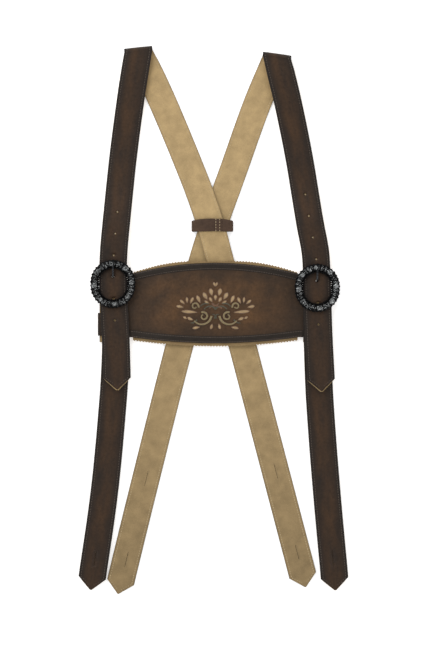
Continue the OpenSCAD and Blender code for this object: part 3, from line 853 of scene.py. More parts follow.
def leaf_shape(length, width, height):
    """One cast leaf lying along X: pointed, domed, with a furrow down its middle."""
    steps = 6
    verts = []
    for i in range(steps + 1):
        t = i / steps
        half = width / 2 * math.sin(math.pi * t ** 0.8) + 0.02 * width
        rise = height * math.sin(math.pi * min(1, 0.1 + 0.9 * t))
        x = (t - 0.5) * length
        verts += [(x, -half, -height), (x, -half * 0.6, rise * 0.9), (x, 0, rise * 0.45),
                  (x, half * 0.6, rise * 0.9), (x, half, -height)]
    ends = [[4, 3, 2, 1, 0], [5 * steps + k for k in range(5)]]
    return new_object("leaf_shape", verts, banded(steps + 1, 5) + ends, [])


def bead_shape(radius):
    """One cast bead."""
    work = bmesh.new()
    bmesh.ops.create_uvsphere(work, u_segments=8, v_segments=5, radius=radius)
    mesh = bpy.data.meshes.new("bead_shape")
    work.to_mesh(mesh)
    work.free()
    made = bpy.data.objects.new("bead_shape", mesh)
    bpy.context.scene.collection.objects.link(made)
    return made


def blossom_shape(radius, height):
    """A cast blossom: six round petals about a raised eye."""
    petals, rings = 6, (0.0, 0.22, 0.3, 0.62, 0.92, 1.0)
    rises = (1.25, 1.15, 0.6, 1.0, 0.6, -1.0)
    around = 4 * petals
    verts = [(0, 0, height * rises[0])]
    for share, rise in zip(rings[1:], rises[1:]):
        for i in range(around):
            a = math.tau * i / around
            lobe = 1 - 0.2 * (0.5 - 0.5 * math.cos(petals * a)) * (share > 0.4)
            verts.append((radius * share * lobe * math.cos(a), radius * share * lobe * math.sin(a),
                          height * rise))
    faces = [[0, 1 + i, 1 + (i + 1) % around] for i in range(around)]
    faces += banded(len(rings) - 1, around, 1)
    faces.append([1 + (len(rings) - 2) * around + i for i in range(around)])
    return new_object("blossom_shape", verts, faces, [])


# ---------------------------------------------------------------- the straps as stations

SWELL = 0.45 * MM
SEEDS = {"left": 0.4, "right": 2.1}


THROUGH = (-5 * MM, 25 * MM)            # heights between which a cutter goes through everything
FOLD_MARGIN = 24 * MM                   # from a run's top end to where its section can be read
CROSSING_FLAT = (110 * MM, 170 * MM)    # how far a back run lies flat, above and below the keeper
BUCKLE_FLAT = (40 * MM, 300 * MM)       # the same for a front run, above and below its buckle's bar
LOOP_FLAT = (60 * MM, 90 * MM)          # the same for a lower strap
LOOP_STEPS = 14


def bar_centre(side):
    """Middle of a buckle's bar."""
    low, high = box_of(f"{side}_buckle_bar")
    return (low + high) / 2


def back_stations(side):
    """Stations of a back run, from the fold line to its tip."""
    run = Run(f"{side}_back_strap_lining", FOLD_MARGIN)
    keeper_low, keeper_high = box_of("back_keeper")
    above, below = CROSSING_FLAT
    body = run_stations(run, fold_line(side)[0].y - FIRST, SEEDS[side], keeper_high.y + above,
                        keeper_low.y - below, SWELL)
    return run, from_fold(side, run, body, 0.0)


def front_stations(side):
    """Stations of a front run, from the fold line over the lower strap to its tip."""
    run = Run(f"{side}_front_strap_outer", FOLD_MARGIN)
    fold_height = run.under(run.clear_high).z
    above, below = BUCKLE_FLAT
    bar_y = bar_centre(side).y
    body = run_stations(run, fold_line(side)[0].y - FIRST, SEEDS[side] + 1, bar_y + above, bar_y - below,
                        0.5 * SWELL)
    return run, from_fold(side, run, body, fold_height)


def lower_stations(side):
    """Stations of a lower strap: the ply folded under, the loop round the bar, and the run to its tip."""
    centre = bar_centre(side)
    straps = bpy.context.scene.braces_straps
    thick = straps.leather + straps.lining
    low_end = min(v.co.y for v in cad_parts[f"{side}_lower_strap_lining"].data.vertices
                  if v.co.z < thick and abs(v.co.x - centre.x) < straps.width / 2 + 0.1 * MM
                  and v.co.y > -55 * MM)
    run = Run(f"{side}_lower_strap_outer", 0.6 * MM, (low_end - MM, centre.z))
    inner = run.under(centre.y - 6 * MM).z - centre.z
    half = straps.width / 2
    side_way = Vector((1, 0, 0))
    stations = []
    for y in np.linspace(low_end, centre.y, LOOP_STEPS):
        stations.append(Station(Vector((centre.x, y, centre.z)), side_way, -UP, half, y - centre.y))
    for i in range(1, LOOP_STEPS):
        a = math.pi * i / LOOP_STEPS
        stations.append(Station(centre.copy(), side_way, Vector((0, math.sin(a), -math.cos(a))), half,
                                inner * a))
    above, below = LOOP_FLAT
    tail = run_stations(run, centre.y - 0.2 * MM, SEEDS[side] + 2, centre.y + above, centre.y - below,
                        SWELL)
    for s in tail:
        s.middle.z -= inner
        s.along += inner * math.pi
        s.side = -s.side if s.side.x < 0 else s.side
    return run, stations + tail, inner


def bend_stations(side, steps=18):
    """Stations round the shoulder bend."""
    middle, across, half, axis_z = fold_line(side)
    out = Vector((-across.y, across.x, 0))
    stations = []
    for i in range(steps + 1):
        a = math.pi * i / steps
        stations.append(Station(middle + UP * axis_z, across, out * math.sin(a) - UP * math.cos(a), half,
                                axis_z * a))
    return stations


def blended(piece):
    """Bake a shoulder-bend piece's transform into its mesh."""
    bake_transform(piece)


def seam_guides(stations, height, facing, straps):
    """Guide lines for the two rows of stitches on the face at a height, which faces up (1) or down (-1)."""
    guides = []
    for sign in (-1, 1):
        line, ways = [], []
        for s in stations:
            room = s.half - straps.seam * (1 + 0.55 * min(1, s.tip * 1.3))
            if room >= 0.5 * MM:
                line.append(s.middle + s.side * sign * room + s.up * height)
                ways.append(s.up * facing)
        guides.append((line, ways, False))
    return guides


def slit_cutters(run, slits, straps, lining):
    """Prisms that cut a layer's buttonholes; the lining's are shifted, so that no light comes through."""
    cutters = []
    for up_from_tip in slits:
        y = run.tip.y + up_from_tip
        x = run.under(y).x + (1.2 * straps.slit if lining else 0.0)
        cutters.append(prism(slot_outline(x, y, run.way(y), SLIT_LENGTH, straps.slit), *THROUGH))
    return cutters


def two_layers(name, stations, glued, leather_face, suede_face, straps, lining_stations=None, showing=False):
    """(leather, lining) glued together at a height; a lining that is showing isn't set back from the edge."""
    leather = sweep(f"{name}_leather", stations, layer_profile(glued, leather_face, 0.0, straps),
                    [waxed_cowhide(), dark_edge()])
    set_back = 0.0 if showing else -straps.shy
    lining = sweep(f"{name}_suede", lining_stations or stations,
                   layer_profile(glued, suede_face, set_back, straps),
                   [lining_suede(), lining_suede() if showing else raw_edge()])
    return leather, lining


LAYERS = (("outer", "dark_leather"), ("lining", "suede_lining"))    # each layer's node and slot
HOLES_ABOVE = {"left": 3, "right": 4}
HOLES_BELOW = 2
PRONG_EXIT = 9 * MM                     # from the bar's middle to the hole that the prong comes out of
PRONG_SLOT = (2.03 * MM, -4.37 * MM, 15.11 * MM)    # half width, and reach below and above the bar
SLIT_LENGTH = 19 * MM
BACK_SLITS = (44 * MM, 147 * MM)        # buttonholes, up from a tip
LOWER_SLITS = (40 * MM,)


class MakeBackStraps(bpy.types.Operator):
    """Make the two back runs, lining up, that cross under the keeper"""
    bl_idname = "braces.back_straps"
    bl_label = "Back straps"

    def execute(self, context):
        straps = context.scene.braces_straps
        thick = straps.leather + straps.lining
        for side in SIDES:
            run, stations = back_stations(side)
            pieces = two_layers(f"{side}_back", stations, straps.leather, 0.0, thick, straps, showing=True)
            for piece, (node, slot) in zip(pieces, LAYERS):
                cut_out(piece, slit_cutters(run, BACK_SLITS, straps, node == "lining"))
                handed(piece, "back_straps", f"{side}_back_strap_{node}")
        return {"FINISHED"}


class MakeFrontStraps(bpy.types.Operator):
    """Make the two front runs, leather up, with their prong holes"""
    bl_idname = "braces.front_straps"
    bl_label = "Front straps"

    def execute(self, context):
        straps = context.scene.braces_straps
        thick = straps.leather + straps.lining
        for side in SIDES:
            run, stations = front_stations(side)
            pieces = two_layers(f"{side}_front", stations, straps.lining, thick, 0.0, straps,
                                outlined(stations, straps.proud))
            holes = range(-HOLES_BELOW, HOLES_ABOVE[side] + 1)
            spots = [(i, bar_centre(side).y + PRONG_EXIT + i * straps.hole_pitch) for i in holes]
            for piece, (node, slot), spare in zip(pieces, LAYERS, (straps.spare_hole, straps.pricked)):
                # hole 0 is the one in use
                cut_out(piece, [prism(disc_outline(run.under(y).x, y, spare if i else straps.hole), *THROUGH)
                                for i, y in spots])
                handed(piece, "front_straps", f"{side}_front_strap_{node}")
        return {"FINISHED"}


class MakeShoulderBends(bpy.types.Operator):
    """Make the bends where the straps fold over at the shoulders"""
    bl_idname = "braces.shoulder_bends"
    bl_label = "Shoulder bends"

    def execute(self, context):
        straps = context.scene.braces_straps
        thick = straps.leather + straps.lining
        for side in SIDES:
            axis_z = fold_line(side)[3]
            pieces = two_layers(f"{side}_bend", bend_stations(side), axis_z - straps.leather, axis_z,
                                axis_z - thick, straps)
            for piece, (node, slot) in zip(pieces, LAYERS):
                handed(piece, node=f"{side}_shoulder_bend_{node}")
                blended(piece)
        return {"FINISHED"}


class MakeLowerStraps(bpy.types.Operator):
    """Make the two lower straps, each folded round its buckle's bar"""
    bl_idname = "braces.lower_straps"
    bl_label = "Lower straps"

    def execute(self, context):
        straps = context.scene.braces_straps
        for side in SIDES:
            run, stations, inner = lower_stations(side)
            centre = bar_centre(side)
            half, below, above = PRONG_SLOT
            window = [(centre.x + sign * half, centre.y + reach)
                      for sign, reach in ((-1, below), (1, below), (1, above), (-1, above))]
            glued = inner + straps.lining
            pieces = two_layers(f"{side}_lower", stations, glued, glued + straps.leather, inner, straps,
                                outlined(stations, 0.5 * straps.proud))
            for piece, (node, slot) in zip(pieces, LAYERS):
                cut_out(piece, [*slit_cutters(run, LOWER_SLITS, straps, node == "lining"),
                                prism(window, *THROUGH)])
                handed(piece, "chest", f"{side}_lower_strap_{node}")
        return {"FINISHED"}


class MakeStrapStitching(bpy.types.Operator):
    """Sew the seams that hold each strap's leather and lining together"""
    bl_idname = "braces.strap_stitching"
    bl_label = "Strap stitching"

    def execute(self, context):
        straps = context.scene.braces_straps
        thick = straps.leather + straps.lining
        shape = stitch_shape(0.72 * straps.pitch, 0.75 * MM, 0.5 * MM)
        sunk = 0.12 * MM
        # each run's stations, the height of its lower face, whether its leather is on top, and its body
        runs = {"back": (lambda side: (*back_stations(side), 0.0), False, "back_straps"),
                "front": (lambda side: (*front_stations(side), 0.0), True, "front_straps"),
                "lower": (lower_stations, True, "chest")}
        for name, (stations_of, leather_up, body) in runs.items():
            for layer, finish in (("suede", seam_thread), ("leather", dark_seam_thread)):
                up = leather_up == (layer == "leather")
                guides = []
                for side in SIDES:
                    _, stations, low = stations_of(side)
                    height = low + (thick - sunk if up else sunk)
                    guides += seam_guides(stations, height, 1 if up else -1, straps)
                piece = laid(f"{name}_{layer}_stitches", guides, shape, straps.pitch, finish())
                handed(piece, body)
        for side in SIDES:
            guides = seam_guides(bend_stations(side), fold_line(side)[3] - sunk, 1, straps)
            piece = laid(f"{side}_bend_stitches", guides, shape, straps.pitch, dark_seam_thread())
            handed(piece)
            blended(piece)
        bpy.data.objects.remove(shape)
        return {"FINISHED"}


# ---------------------------------------------------------------- buckles

def ring_path(side, inset, height, steps=72):
    """A closed guide round a buckle ring, at a distance in from its outer rim."""
    low, high = box_of(f"{side}_buckle_ring")
    middle = (low + high) / 2
    radius = (high.x - low.x) / 2 - inset
    stretch = (high.y - low.y) / 2 - (high.x - low.x) / 2
    line = []
    for i in range(steps):
        a = math.tau * i / steps
        shift = stretch if math.sin(a) >= 0 else -stretch
        line.append(Vector((middle.x + radius * math.cos(a), middle.y + radius * math.sin(a) + shift,
                            height)))
    return line, [UP] * steps, True


class MakeBuckleRings(bpy.types.Operator):
    """Give each buckle ring its material and its cast wreath of leaves, beads and blossoms"""
    bl_idname = "braces.buckle_rings"
    bl_label = "Buckle rings"

    def execute(self, context):
        buckles = context.scene.braces_buckles
        leaf = leaf_shape(buckles.leaf, 0.5 * buckles.leaf, 1.6 * MM)
        bead = bead_shape(buckles.bead)
        knob = bead_shape(buckles.knob)
        blossom = blossom_shape(3.5 * MM, 1.3 * MM)
        for side in SIDES:
            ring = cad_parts[f"{side}_buckle_ring"]
            ring.material_slots[0].material = antiqued_cast()
            top = box_of(f"{side}_buckle_ring")[1].z
            # each row's inset from the rim and height over the cast, in millimetres
            rows = (("outer_leaves", 2.5, -0.7, leaf, buckles.leaf_pitch, math.radians(-40)),
                    ("inner_leaves", 6.6, -0.7, leaf, buckles.leaf_pitch, math.radians(40)),
                    ("beads", 4.6, 0.45, bead, 2.9 * MM, 0.0),
                    ("blossoms", 4.5, 0.35, blossom, 22 * MM, 0.0),
                    ("rim_knobs", 0.35, -1.7, knob, buckles.leaf_pitch, 0.0),
                    ("inner_knobs", 9.6, -1.6, knob, 2.5 * MM, 0.0))
            for name, inset, drop, shape, pitch, turn in rows:
                piece = laid(f"{side}_wreath_{name}", [ring_path(side, inset * MM, top + drop * MM)], shape,
                             pitch, antiqued_cast(), turn, 0.15)
                handed(piece, f"{side}_buckle")
        for shape in (leaf, bead, knob, blossom):
            bpy.data.objects.remove(shape)
        return {"FINISHED"}


class MakeProngs(bpy.types.Operator):
    """Finish the prongs and the bars that they turn on"""
    bl_idname = "braces.prongs"
    bl_label = "Prongs and bars"

    def execute(self, context):
        for side in SIDES:
            for part in ("bar", "prong"):
                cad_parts[f"{side}_buckle_{part}"].material_slots[0].material = blackened_wire()
        return {"FINISHED"}


# ---------------------------------------------------------------- chest bridge

HIDE = 1.4 * MM         # leather of the bridge's panel and of the keeper


class Bridge:
    """Outline and height of the chest bridge, read from the frame."""
    UPPER_RISE = 13.5 * MM
    LOWER_DROP = 7.5 * MM
    LEVEL_HALF = 52 * MM
    ARCH_RUN = 45 * MM
    TAB_LOW, TAB_HIGH = -20 * MM, 9 * MM

    def __init__(self):
        low, high = box_of("bridge_front_panel")
        welt_low, welt_high = box_of("bridge_upper_welt")
        self.tabs = (low.x, high.x)
        self.ends = (welt_low.x, welt_high.x)
        self.lower_ends = tuple(corner.x for corner in box_of("bridge_lower_welt"))
        self.top, self.bottom = high.y, low.y
        self.middle = (welt_low.x + welt_high.x) / 2
        self.half = (welt_high.x - welt_low.x) / 2
        self.face = high.z
        self.tab_face = low.z + HIDE
        # past the ends of the upper welt the panel goes on, lower, under the straps
        self.shoulders = []
        for sign, end in ((-1, welt_low.x), (1, welt_high.x)):
            past = [v.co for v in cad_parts["bridge_front_panel"].data.vertices
                    if (v.co.x - end) * sign > 2 * MM and v.co.y > self.TAB_HIGH + 2 * MM]
            self.shoulders.append((max(past, key=lambda c: c.x * sign).x, max(c.y for c in past)))

    def share(self, x):
        """How far x is from the middle, as a share of half the upper welt."""
        return min(1.0, abs(x - self.middle) / self.half)

    def upper(self, x):
        """Height of the upper edge in plan."""
        return self.top - self.UPPER_RISE * self.share(x) ** 2

    def lower(self, x):
        """Height of the lower edge in plan."""
        return self.bottom + self.LOWER_DROP * self.share(x) ** 2

    def limits(self, x):
        """(lowest, highest) y of the panel at x."""
        if self.ends[0] <= x <= self.ends[1]:
            return self.lower(x), self.upper(x)
        out, top = self.shoulders[int(x > self.middle)]
        if abs(x - self.middle) <= abs(out - self.middle):
            return self.lower(x), top
        return self.TAB_LOW, self.TAB_HIGH

    def height(self, x):
        """Height of the panel's face before it is crowned."""
        return mix(self.face, self.tab_face, smooth((abs(x - self.middle) - self.LEVEL_HALF) / self.ARCH_RUN))

    def crown(self, x, y, swell):
        """How far the padding lifts the face at a point."""
        v = (y - self.lower(x)) / (self.upper(x) - self.lower(x))
        return swell * max(0.0, math.sin(math.pi * min(1, max(0, v)))) * (1 - self.share(x) ** 4)


def spaced(marks, counts):
    """Values from the first mark to the last, with the given number of steps between each two."""
    values = [marks[0]]
    for a, b, count in zip(marks, marks[1:], counts):
        values += list(np.linspace(a, b, count + 1)[1:])
    return values


def grid_solid(name, columns, depth, materials):
    """A closed slab under a grid of top points; a point is None where the outline leaves it out."""
    verts, index = [], {}
    for i, column in enumerate(columns):
        for k, point in enumerate(column):
            if point is not None:
                index[i, k] = len(verts)
                verts.append(point)
    faces = []
    for i in range(len(columns) - 1):
        for k in range(len(columns[0]) - 1):
            corners = [(i, k), (i + 1, k), (i + 1, k + 1), (i, k + 1)]
            if all(c in index for c in corners):
                faces.append([index[c] for c in corners])
    used = {pair for face in faces for pair in zip(face, face[1:] + face[:1])}
    n = len(verts)
    below = [Vector(v) - UP * depth for v in verts]
    rims = sorted((a, b) for a, b in used if (b, a) not in used)
    faces += [[n + i for i in face[::-1]] for face in faces]
    faces += [[b, a, n + a, n + b] for a, b in rims]
    return new_object(name, verts + below, faces, materials)


class MakeBridgePanel(bpy.types.Operator):
    """Make the padded front panel of the chest bridge, and finish its backing and filling"""
    bl_idname = "braces.bridge_panel"
    bl_label = "Bridge panel"

    def execute(self, context):
        settings = context.scene.braces_bridge
        plan = Bridge()
        (left_out, _), (right_out, _) = plan.shoulders
        columns = []
        for x in spaced((plan.tabs[0], left_out, *plan.ends, right_out, plan.tabs[1]), (6, 8, 70, 8, 6)):
            _, shoulder = plan.shoulders[int(x > plan.middle)]
            low, high = plan.limits(x)
            marks = (plan.lower(x), plan.TAB_LOW, plan.TAB_HIGH, shoulder,
                     max(plan.upper(x), shoulder + 2 * MM))
            column = []
            for y in spaced(marks, (4, 11, 10, 12)):
                outside = not low - 1e-6 <= y <= high + 1e-6
                lift = plan.crown(x, y, settings.crown)
                column.append(None if outside else Vector((x, y, plan.height(x) + lift)))
            columns.append(column)
        panel = grid_solid("bridge_panel", columns, HIDE, [panel_cowhide()])
        bevelled(panel, 0.4 * MM, 60)
        handed(panel, "chest", "bridge_front_panel")
        for node in ("bridge_backing", "bridge_filling"):
            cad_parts[node].material_slots[0].material = pinked_suede()
        return {"FINISHED"}


def welt_stations(plan, edge, ends, inward, swell, half, steps=80):
    """Stations of a welt that lies just inside an edge of the bridge."""
    stations, along, last = [], 0.0, None
    step = 1 * MM
    for x in np.linspace(*ends, steps):
        y = edge(x) + inward * half
        spot = Vector((x, y, plan.height(x) + plan.crown(x, y, swell) * 0.6))
        along += (spot - last).length if last else 0.0
        last = spot
        way = Vector((2 * step, edge(x + step) - edge(x - step), 0)).normalized()
        stations.append(Station(spot, Vector((-way.y, way.x, 0)), UP.copy(), half, along))
    return stations


class MakeBridgeWelts(bpy.types.Operator):
    """Make the raised welts along the bridge's upper and lower edges, with their seams"""
    bl_idname = "braces.bridge_welts"
    bl_label = "Bridge welts"

    def execute(self, context):
        settings = context.scene.braces_bridge
        plan = Bridge()
        width = 9 * MM
        rise = 1.5 * MM
        count = 14
        shape = stitch_shape(2.4 * MM, 0.8 * MM, 0.6 * MM)
        guides = []
        for name, edge, ends, inward in (("upper", plan.upper, plan.ends, -1),
                                         ("lower", plan.lower, plan.lower_ends, 1)):
            stations = welt_stations(plan, edge, ends, inward, settings.crown, width / 2)
            dome = []
            for i in range(count + 1):
                a = math.pi * i / count
                dome.append((max(-0.999, min(0.999, math.cos(a))), 0.0,
                             rise * max(0.0, math.sin(a)) ** 0.55 - 0.2 * MM, 0))
            dome += [(-0.97, 0.0, -0.8 * MM, 0), (0.97, 0.0, -0.8 * MM, 0)]
            piece = sweep(f"bridge_{name}_edge", stations, dome, [welt_cowhide()])
            handed(piece, "chest", f"bridge_{name}_welt")
            for s in (1, -1):
                offset = s * (width / 2 - 1.5 * MM)
                line = [q.middle + q.side * offset + UP * (rise * 0.72) for q in stations[1:-1]]
                guides.append((line, [UP] * len(line), False))
        handed(laid("bridge_seams", guides, shape, 3.1 * MM, dark_seam_thread()), "chest")
        bpy.data.objects.remove(shape)
        return {"FINISHED"}


# ---------------------------------------------------------------- embroidery

# (x, y, turn in degrees, length, width) of each petal on the right-hand side, in millimetres
FAN = (
    (4.3, 12.4, -14, 9.5, 4.6), (10.3, 7.8, -32, 10, 4.4), (19.3, 3.2, -24, 10.5, 3.8),
    (31.9, 2.4, 25, 9, 3.2), (35.7, 3.2, -5, 7.5, 2.6), (38.9, 1.9, -50, 8, 2.8),
    (40.3, -2.3, -80, 9.5, 3.2), (22.5, -8.7, -86, 21, 3.6), (28.2, -18.4, -68, 8, 3.2),
    (36.1, -16.9, -60, 5.5, 2.4), (19.8, -27.2, -100, 9.5, 3), (4.1, -23.1, -165, 7, 3),
)
FLOWER_MIDDLE = ((0, 6.5, 0, 7, 3.4), (0, 24, 24, 6, 2.4), (0, 24, -24, 6, 2.4))
FLOWER_SIDE = ((4, 4.2, -30, 7, 3), (8, 2.2, -58, 7, 2.6))
# (x, y, first radius, last radius, first angle, sweep, width) of each scroll on the right-hand side
SCROLLS = ((26, -1, 4.8, 1.8, 200, -360, 2), (15, -13.8, 5.6, 2, 60, 380, 2.2),
           (17, -11.5, 12, 12.6, 188, 134, 2.4))
VINES = ((7, -9.5, 8.6, 8.6, 150, -118, 1.7), (13, -6.5, 9.5, 8, 115, -75, 1.4),
         (3.5, -17, 4.5, 6, 175, -95, 1.3), (31, -15, 8, 7, 200, 75, 1.5))
ARCS = ((0, 4.5, 4.4, 4.4, 200, 140, 1.8), (0, -12, 11.5, 11.5, 45, 90, 1.8))


def petal_half(t, width):
    """Half width of a petal at share t of its length: pointed at its root, round at its end."""
    return 0.57 * width * math.sin(math.pi * min(1.0, max(0.0, t)) ** 1.35) ** 0.75 if 0 < t < 1 else 0.0


def placed(across, along, x, y, turn, mirror):
    """A petal's own point in the ornament's plan."""
    c, s = math.cos(math.radians(turn)), math.sin(math.radians(turn))
    return (x + across * c - along * s) * mirror, y + across * s + along * c


class Sewing:
    """Embroidered shapes gathered into one mesh, laid on the crowned panel."""
    RISE = 1.0 * MM

    def __init__(self):
        self.plan = Bridge()
        self.swell = bpy.context.scene.braces_bridge.crown
        petals_low, petals_high = box_of("embroidered_petals")
        self.x = (petals_low.x + petals_high.x) / 2
        self.y = petals_high.y - MM * max(p[1] + p[3] * math.cos(math.radians(p[2])) for p in FAN)
        self.verts, self.faces, self.uvs = [], [], []

    def spot(self, x, y, lift):
        """A point of the ornament, in millimetres from its middle, lifted off the panel."""
        px, py = self.x + x * MM, self.y + y * MM
        return Vector((px, py, self.plan.height(px) + self.plan.crown(px, py, self.swell) + lift))

    def petal(self, x, y, turn, length, width, mirror):
        """A domed petal of satin stitch, its threads meeting in a furrow down the middle."""
        rows, across = 12, 6
        start = len(self.verts)
        for i in range(rows + 1):
            py = length * (i / rows)
            half = max(0.08, petal_half(i / rows, width))
            for k in range(across + 1):
                u = 2 * k / across - 1
                dome = math.sqrt(max(0.0, 1 - u * u)) * (0.35 + 0.65 * math.sin(math.pi * i / rows))
                furrow = 0.25 * math.exp(-(u / 0.22) ** 2)
                px = u * half
                lift = self.RISE * (dome - furrow * (dome > 0.3)) - 0.1 * MM
                self.verts.append(self.spot(*placed(px, py, x, y, turn, mirror), lift))
                self.uvs.append((abs(px) * MM, py * MM))
        wide = across + 1
        for i in range(rows):
            for k in range(across):
                a = start + i * wide + k
                self.faces.append([a, a + 1, a + wide + 1, a + wide])
        rim = [start + k for k in range(wide)] + [start + i * wide + across for i in range(1, rows + 1)]
        rim += [start + rows * wide + k for k in range(across - 1, -1, -1)]
        rim += [start + i * wide for i in range(rows - 1, 0, -1)]
        self.faces.append(rim)

    def tube(self, points, radius, closed, sides=6, taper=0.0):
        """A round cord through points in millimetres."""
        n = len(points)
        start = len(self.verts)
        spots = [self.spot(px, py, radius * 0.45) for px, py in points]
        for i, spot in enumerate(spots):
            ahead = spots[(i + 1) % n] if closed or i < n - 1 else spot
            behind = spots[i - 1] if closed or i > 0 else spot
            way = (ahead - behind).normalized()
            side = way.cross(UP).normalized()
            size = radius * (1 - taper * i / n)
            for k in range(sides):
                a = math.tau * k / sides
                self.verts.append(spot + side * math.cos(a) * size + UP * math.sin(a) * size)
                self.uvs.append((i * MM, k * MM))
        self.faces += banded(n, sides, start, closed)
        if not closed:
            self.faces.append([start + k for k in range(sides)][::-1])
            self.faces.append([start + (n - 1) * sides + k for k in range(sides)])

    def rim(self, x, y, turn, length, width, mirror, radius):
        """The cord couched round a petal."""
        half_steps = 11
        shares = [i / half_steps for i in range(half_steps + 1)]
        outline = []
        for sign, order in ((1, shares), (-1, shares[-2:0:-1])):
            for t in order:
                outline.append(placed(sign * petal_half(t, width), length * t, x, y, turn, mirror))
        self.tube(outline, radius, True)

    def scroll(self, x, y, first, last, angle, turn, width, mirror):
        """A stem that winds in towards its centre, thinner as it goes."""
        steps = 34
        points = []
        for i in range(steps + 1):
            f = i / steps
            a = math.radians(angle + turn * f)
            r = mix(first, last, f)
            points.append(((x + r * math.cos(a)) * mirror, y + r * math.sin(a)))
        self.tube(points, 0.6 * width * MM, False, 8, 0.45)

    def done(self, name, finish, node=None):
        """The gathered shapes as one piece on the chest bridge."""
        uvs = [[self.uvs[v] for v in face] for face in self.faces]
        piece = new_object(name, self.verts, self.faces, [finish], None, uvs, 60)
        tidy_normals(piece, each=True)
        handed(piece, "chest", node)


class MakeEmbroidery(bpy.types.Operator):
    """Embroider the spray of petals and scrolls on the chest bridge"""
    bl_idname = "braces.embroidery"
    bl_label = "Embroidery"

    def execute(self, context):
        cord = context.scene.braces_bridge.cord
        petals, rims, stems, vines = Sewing(), Sewing(), Sewing(), Sewing()
        both = (1, -1)
        for group, mirrors in ((FAN, both), (FLOWER_SIDE, both), (FLOWER_MIDDLE, (1,))):
            for petal in group:
                for mirror in mirrors:
                    petals.petal(*petal, mirror)
                    rims.rim(*petal, mirror, cord)
        for sewing, group, mirrors in ((stems, SCROLLS, both), (vines, VINES, both), (rims, ARCS, (1,))):
            for stem in group:
                for mirror in mirrors:
                    sewing.scroll(*stem, mirror)
        petals.done("satin_petals", satin_stitch(), "embroidered_petals")
        rims.done("petal_cords", couched_cord(), "embroidered_flower")
        stems.done("scrolling_stems", stem_thread(), "embroidered_scrolls")
        vines.done("dark_vines", vine_thread())
        return {"FINISHED"}


# ---------------------------------------------------------------- keeper

def rounded_box(low_x, high_x, low_z, high_z, radius, steps=6, spans=14):
    """Points of a rounded rectangle in the XZ plane, close enough together to be bowed."""
    points = []
    for cx, cz, start in ((high_x - radius, high_z - radius, 0), (low_x + radius, high_z - radius, 90),
                          (low_x + radius, low_z + radius, 180), (high_x - radius, low_z + radius, 270)):
        for i in range(steps + 1):
            a = math.radians(start + 90 * i / steps)
            points.append((cx + radius * math.cos(a), cz + radius * math.sin(a)))
        if start in (0, 180):
            other = low_x + radius if start == 0 else high_x - radius
            z = cz + (radius if start == 0 else -radius)
            points += [(mix(cx, other, i / spans), z) for i in range(1, spans)]
    return points


def bowed(point, low, high):
    """A point of the keeper after its wear: bowed upwards, narrower at its ends, swollen on top."""
    middle = (low + high) / 2
    u = min(1.0, abs(point.x - middle.x) / ((high.x - low.x) / 2))
    y = middle.y + (point.y - middle.y) * (1 - 0.16 * u ** 4) + 1.7 * MM * (0.6 - u * u)
    top = max(0.0, (point.z - middle.z) / (high.z - middle.z))
    return Vector((point.x, y, point.z + 0.6 * MM * top * (1 - u * u)))


class MakeKeeper(bpy.types.Operator):
    """Make the leather keeper round the crossing, with its sewn lap"""
    bl_idname = "braces.keeper"
    bl_label = "Back keeper"

    def execute(self, context):
        low, high = box_of("back_keeper")
        lap = 0.7 * MM                          # what is left over the band for its sewn lap
        flap_from, flap_len = 3 * MM, 9 * MM    # from the keeper's middle to the lap's start, and its length
        middle_y, half_len = (low.y + high.y) / 2, (high.y - low.y) / 2
        loops = []
        for share in (-1, -0.96, -0.86, -0.5, 0, 0.5, 0.86, 0.96, 1):
            inset = {1: 0.5, 0.96: 0.2, 0.86: 0.03}.get(abs(share), 0.0) * MM
            loops.append((share, inset, 2.4 * MM))
        loops += [(1, HIDE, 1.2 * MM), (-1, HIDE, 1.2 * MM)]
        loops = [(middle_y + share * half_len,
                  rounded_box(low.x + inset, high.x - inset, low.z + inset, high.z - lap - inset, radius))
                 for share, inset, radius in loops]
        verts = [bowed(Vector((x, y, z)), low, high) for y, loop in loops for x, z in loop]
        faces = banded(len(loops), len(loops[0][1]), 0, True)
        band = new_object("keeper_band", verts, faces, [keeper_cowhide()])
        handed(band, "keeper", "back_keeper")
        x0 = (low.x + high.x) / 2 + flap_from
        outline = [(x0 + flap_len * i / 6, low.y + 0.3 * MM) for i in range(7)]
        outline += [(x0 + flap_len * i / 6, high.y - 0.3 * MM) for i in range(6, -1, -1)]
        spots, sides = prism(outline, high.z - lap - 0.3 * MM, high.z)
        flap = new_object("keeper_lap", [bowed(Vector(p), low, high) for p in spots], sides,
                          [keeper_cowhide()])
        bevelled(flap, 0.35 * MM)
        handed(flap, "keeper")
        shape = stitch_shape(2.1 * MM, 0.7 * MM, 0.5 * MM)
        guides = []
        for x in (x0 + 1.4 * MM, x0 + 6.3 * MM):
            line = [bowed(Vector((x, y, high.z)), low, high)
                    for y in np.linspace(low.y + MM, high.y - MM, 6)]
            guides.append((line, [UP] * len(line), False))
        handed(laid("keeper_stitches", guides, shape, 2.8 * MM, seam_thread()), "keeper")
        bpy.data.objects.remove(shape)
        return {"FINISHED"}


# ---------------------------------------------------------------- stage

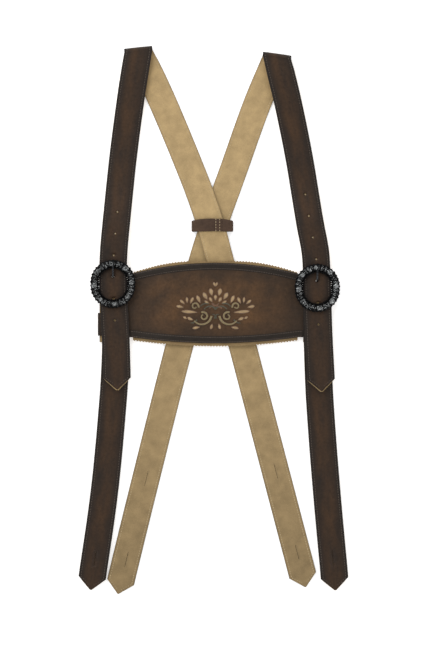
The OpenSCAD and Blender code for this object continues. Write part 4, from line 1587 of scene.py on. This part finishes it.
class MakeStage(bpy.types.Operator):
    """Lay a pale floor, hang soft lights and set the camera straight above"""
    bl_idname = "braces.stage"
    bl_label = "Stage"

    def execute(self, context):
        stage = context.scene.braces_stage
        size = 6.0
        corners = [(x, y, -0.3 * MM) for x, y in ((-size, -size), (size, -size), (size, size), (-size, size))]
        floor = new_object("floor", corners, [[0, 1, 2, 3]], [])
        item, tree, shader, _ = start_material("matt_board")
        connect(tree, shader, {"Base Color": stage.floor, "Roughness": 0.9, "Specular IOR Level": 0.1,
                               "Emission Color": stage.floor, "Emission Strength": stage.glow})
        floor.data.materials.append(item)
        world = bpy.data.worlds.new("surround")
        context.scene.world = world
        world.use_nodes = True
        tree = world.node_tree
        back = next(n for n in tree.nodes if n.type == "BACKGROUND")
        # the room is white round the sides and dim overhead, so that leather and metal keep their depth
        way = add(tree, "ShaderNodeTexCoord").outputs["Generated"]
        steep = add(tree, SPLIT, {0: way}).outputs[2]
        light = add(tree, RANGE, {0: steep, 1: 0.55, 2: 0.93, 3: stage.sky, 4: stage.zenith})
        connect(tree, back, {0: (1, 1, 1), 1: light})
        for name, place, width, power in (("key", (-1.0, 1.1, 1.9), 1.3, stage.key),
                                          ("fill", (1.4, -0.6, 1.8), 1.6, 0.25 * stage.key)):
            lamp = bpy.data.lights.new(name, "AREA")
            lamp.shape = "SQUARE"
            lamp.size = width
            lamp.energy = power
            lit = bpy.data.objects.new(name, lamp)
            lit.location = place
            lit.rotation_euler = (-Vector(place)).to_track_quat("-Z", "Y").to_euler()
            context.scene.collection.objects.link(lit)
        lens = bpy.data.cameras.new("camera")
        lens.lens = stage.lens
        lens.sensor_width = 36
        lens.clip_start = 0.05
        lens.clip_end = 50
        camera = bpy.data.objects.new("camera", lens)
        camera.location = (2.1 * MM, -3.2 * MM, stage.height)
        context.scene.collection.objects.link(camera)
        context.scene.camera = camera
        context.scene.view_settings.view_transform = "Standard"
        return {"FINISHED"}


class BracesPanel(bpy.types.Panel):
    """Every piece of the braces and its settings"""
    bl_idname = "VIEW3D_PT_braces"
    bl_label = "Leather Braces"
    bl_space_type = "VIEW_3D"
    bl_region_type = "UI"
    bl_category = "Braces"

    def draw(self, context):
        for key, kind in SETTINGS.items():
            box = self.layout.box()
            for name in kind.__annotations__:
                box.prop(getattr(context.scene, key), name)
        for step in STEPS:
            self.layout.operator(step.bl_idname)


STEPS = (
    MakeStage, MakeBackStraps, MakeShoulderBends, MakeFrontStraps, MakeLowerStraps, MakeStrapStitching,
    MakeBuckleRings, MakeProngs, MakeBridgePanel, MakeBridgeWelts, MakeEmbroidery, MakeKeeper,
)


def register():
    for kind in (*SETTINGS.values(), *STEPS, BracesPanel):
        bpy.utils.register_class(kind)
    for key, kind in SETTINGS.items():
        setattr(bpy.types.Scene, key, PointerProperty(type=kind))


def unregister():
    for key in SETTINGS:
        delattr(bpy.types.Scene, key)
    for kind in reversed((*SETTINGS.values(), *STEPS, BracesPanel)):
        bpy.utils.unregister_class(kind)


def main():
    """Make every piece in order."""
    register()
    for step in STEPS:
        group, name = step.bl_idname.split(".")
        getattr(getattr(bpy.ops, group), name)()


if __name__ == "__main__":
    main()
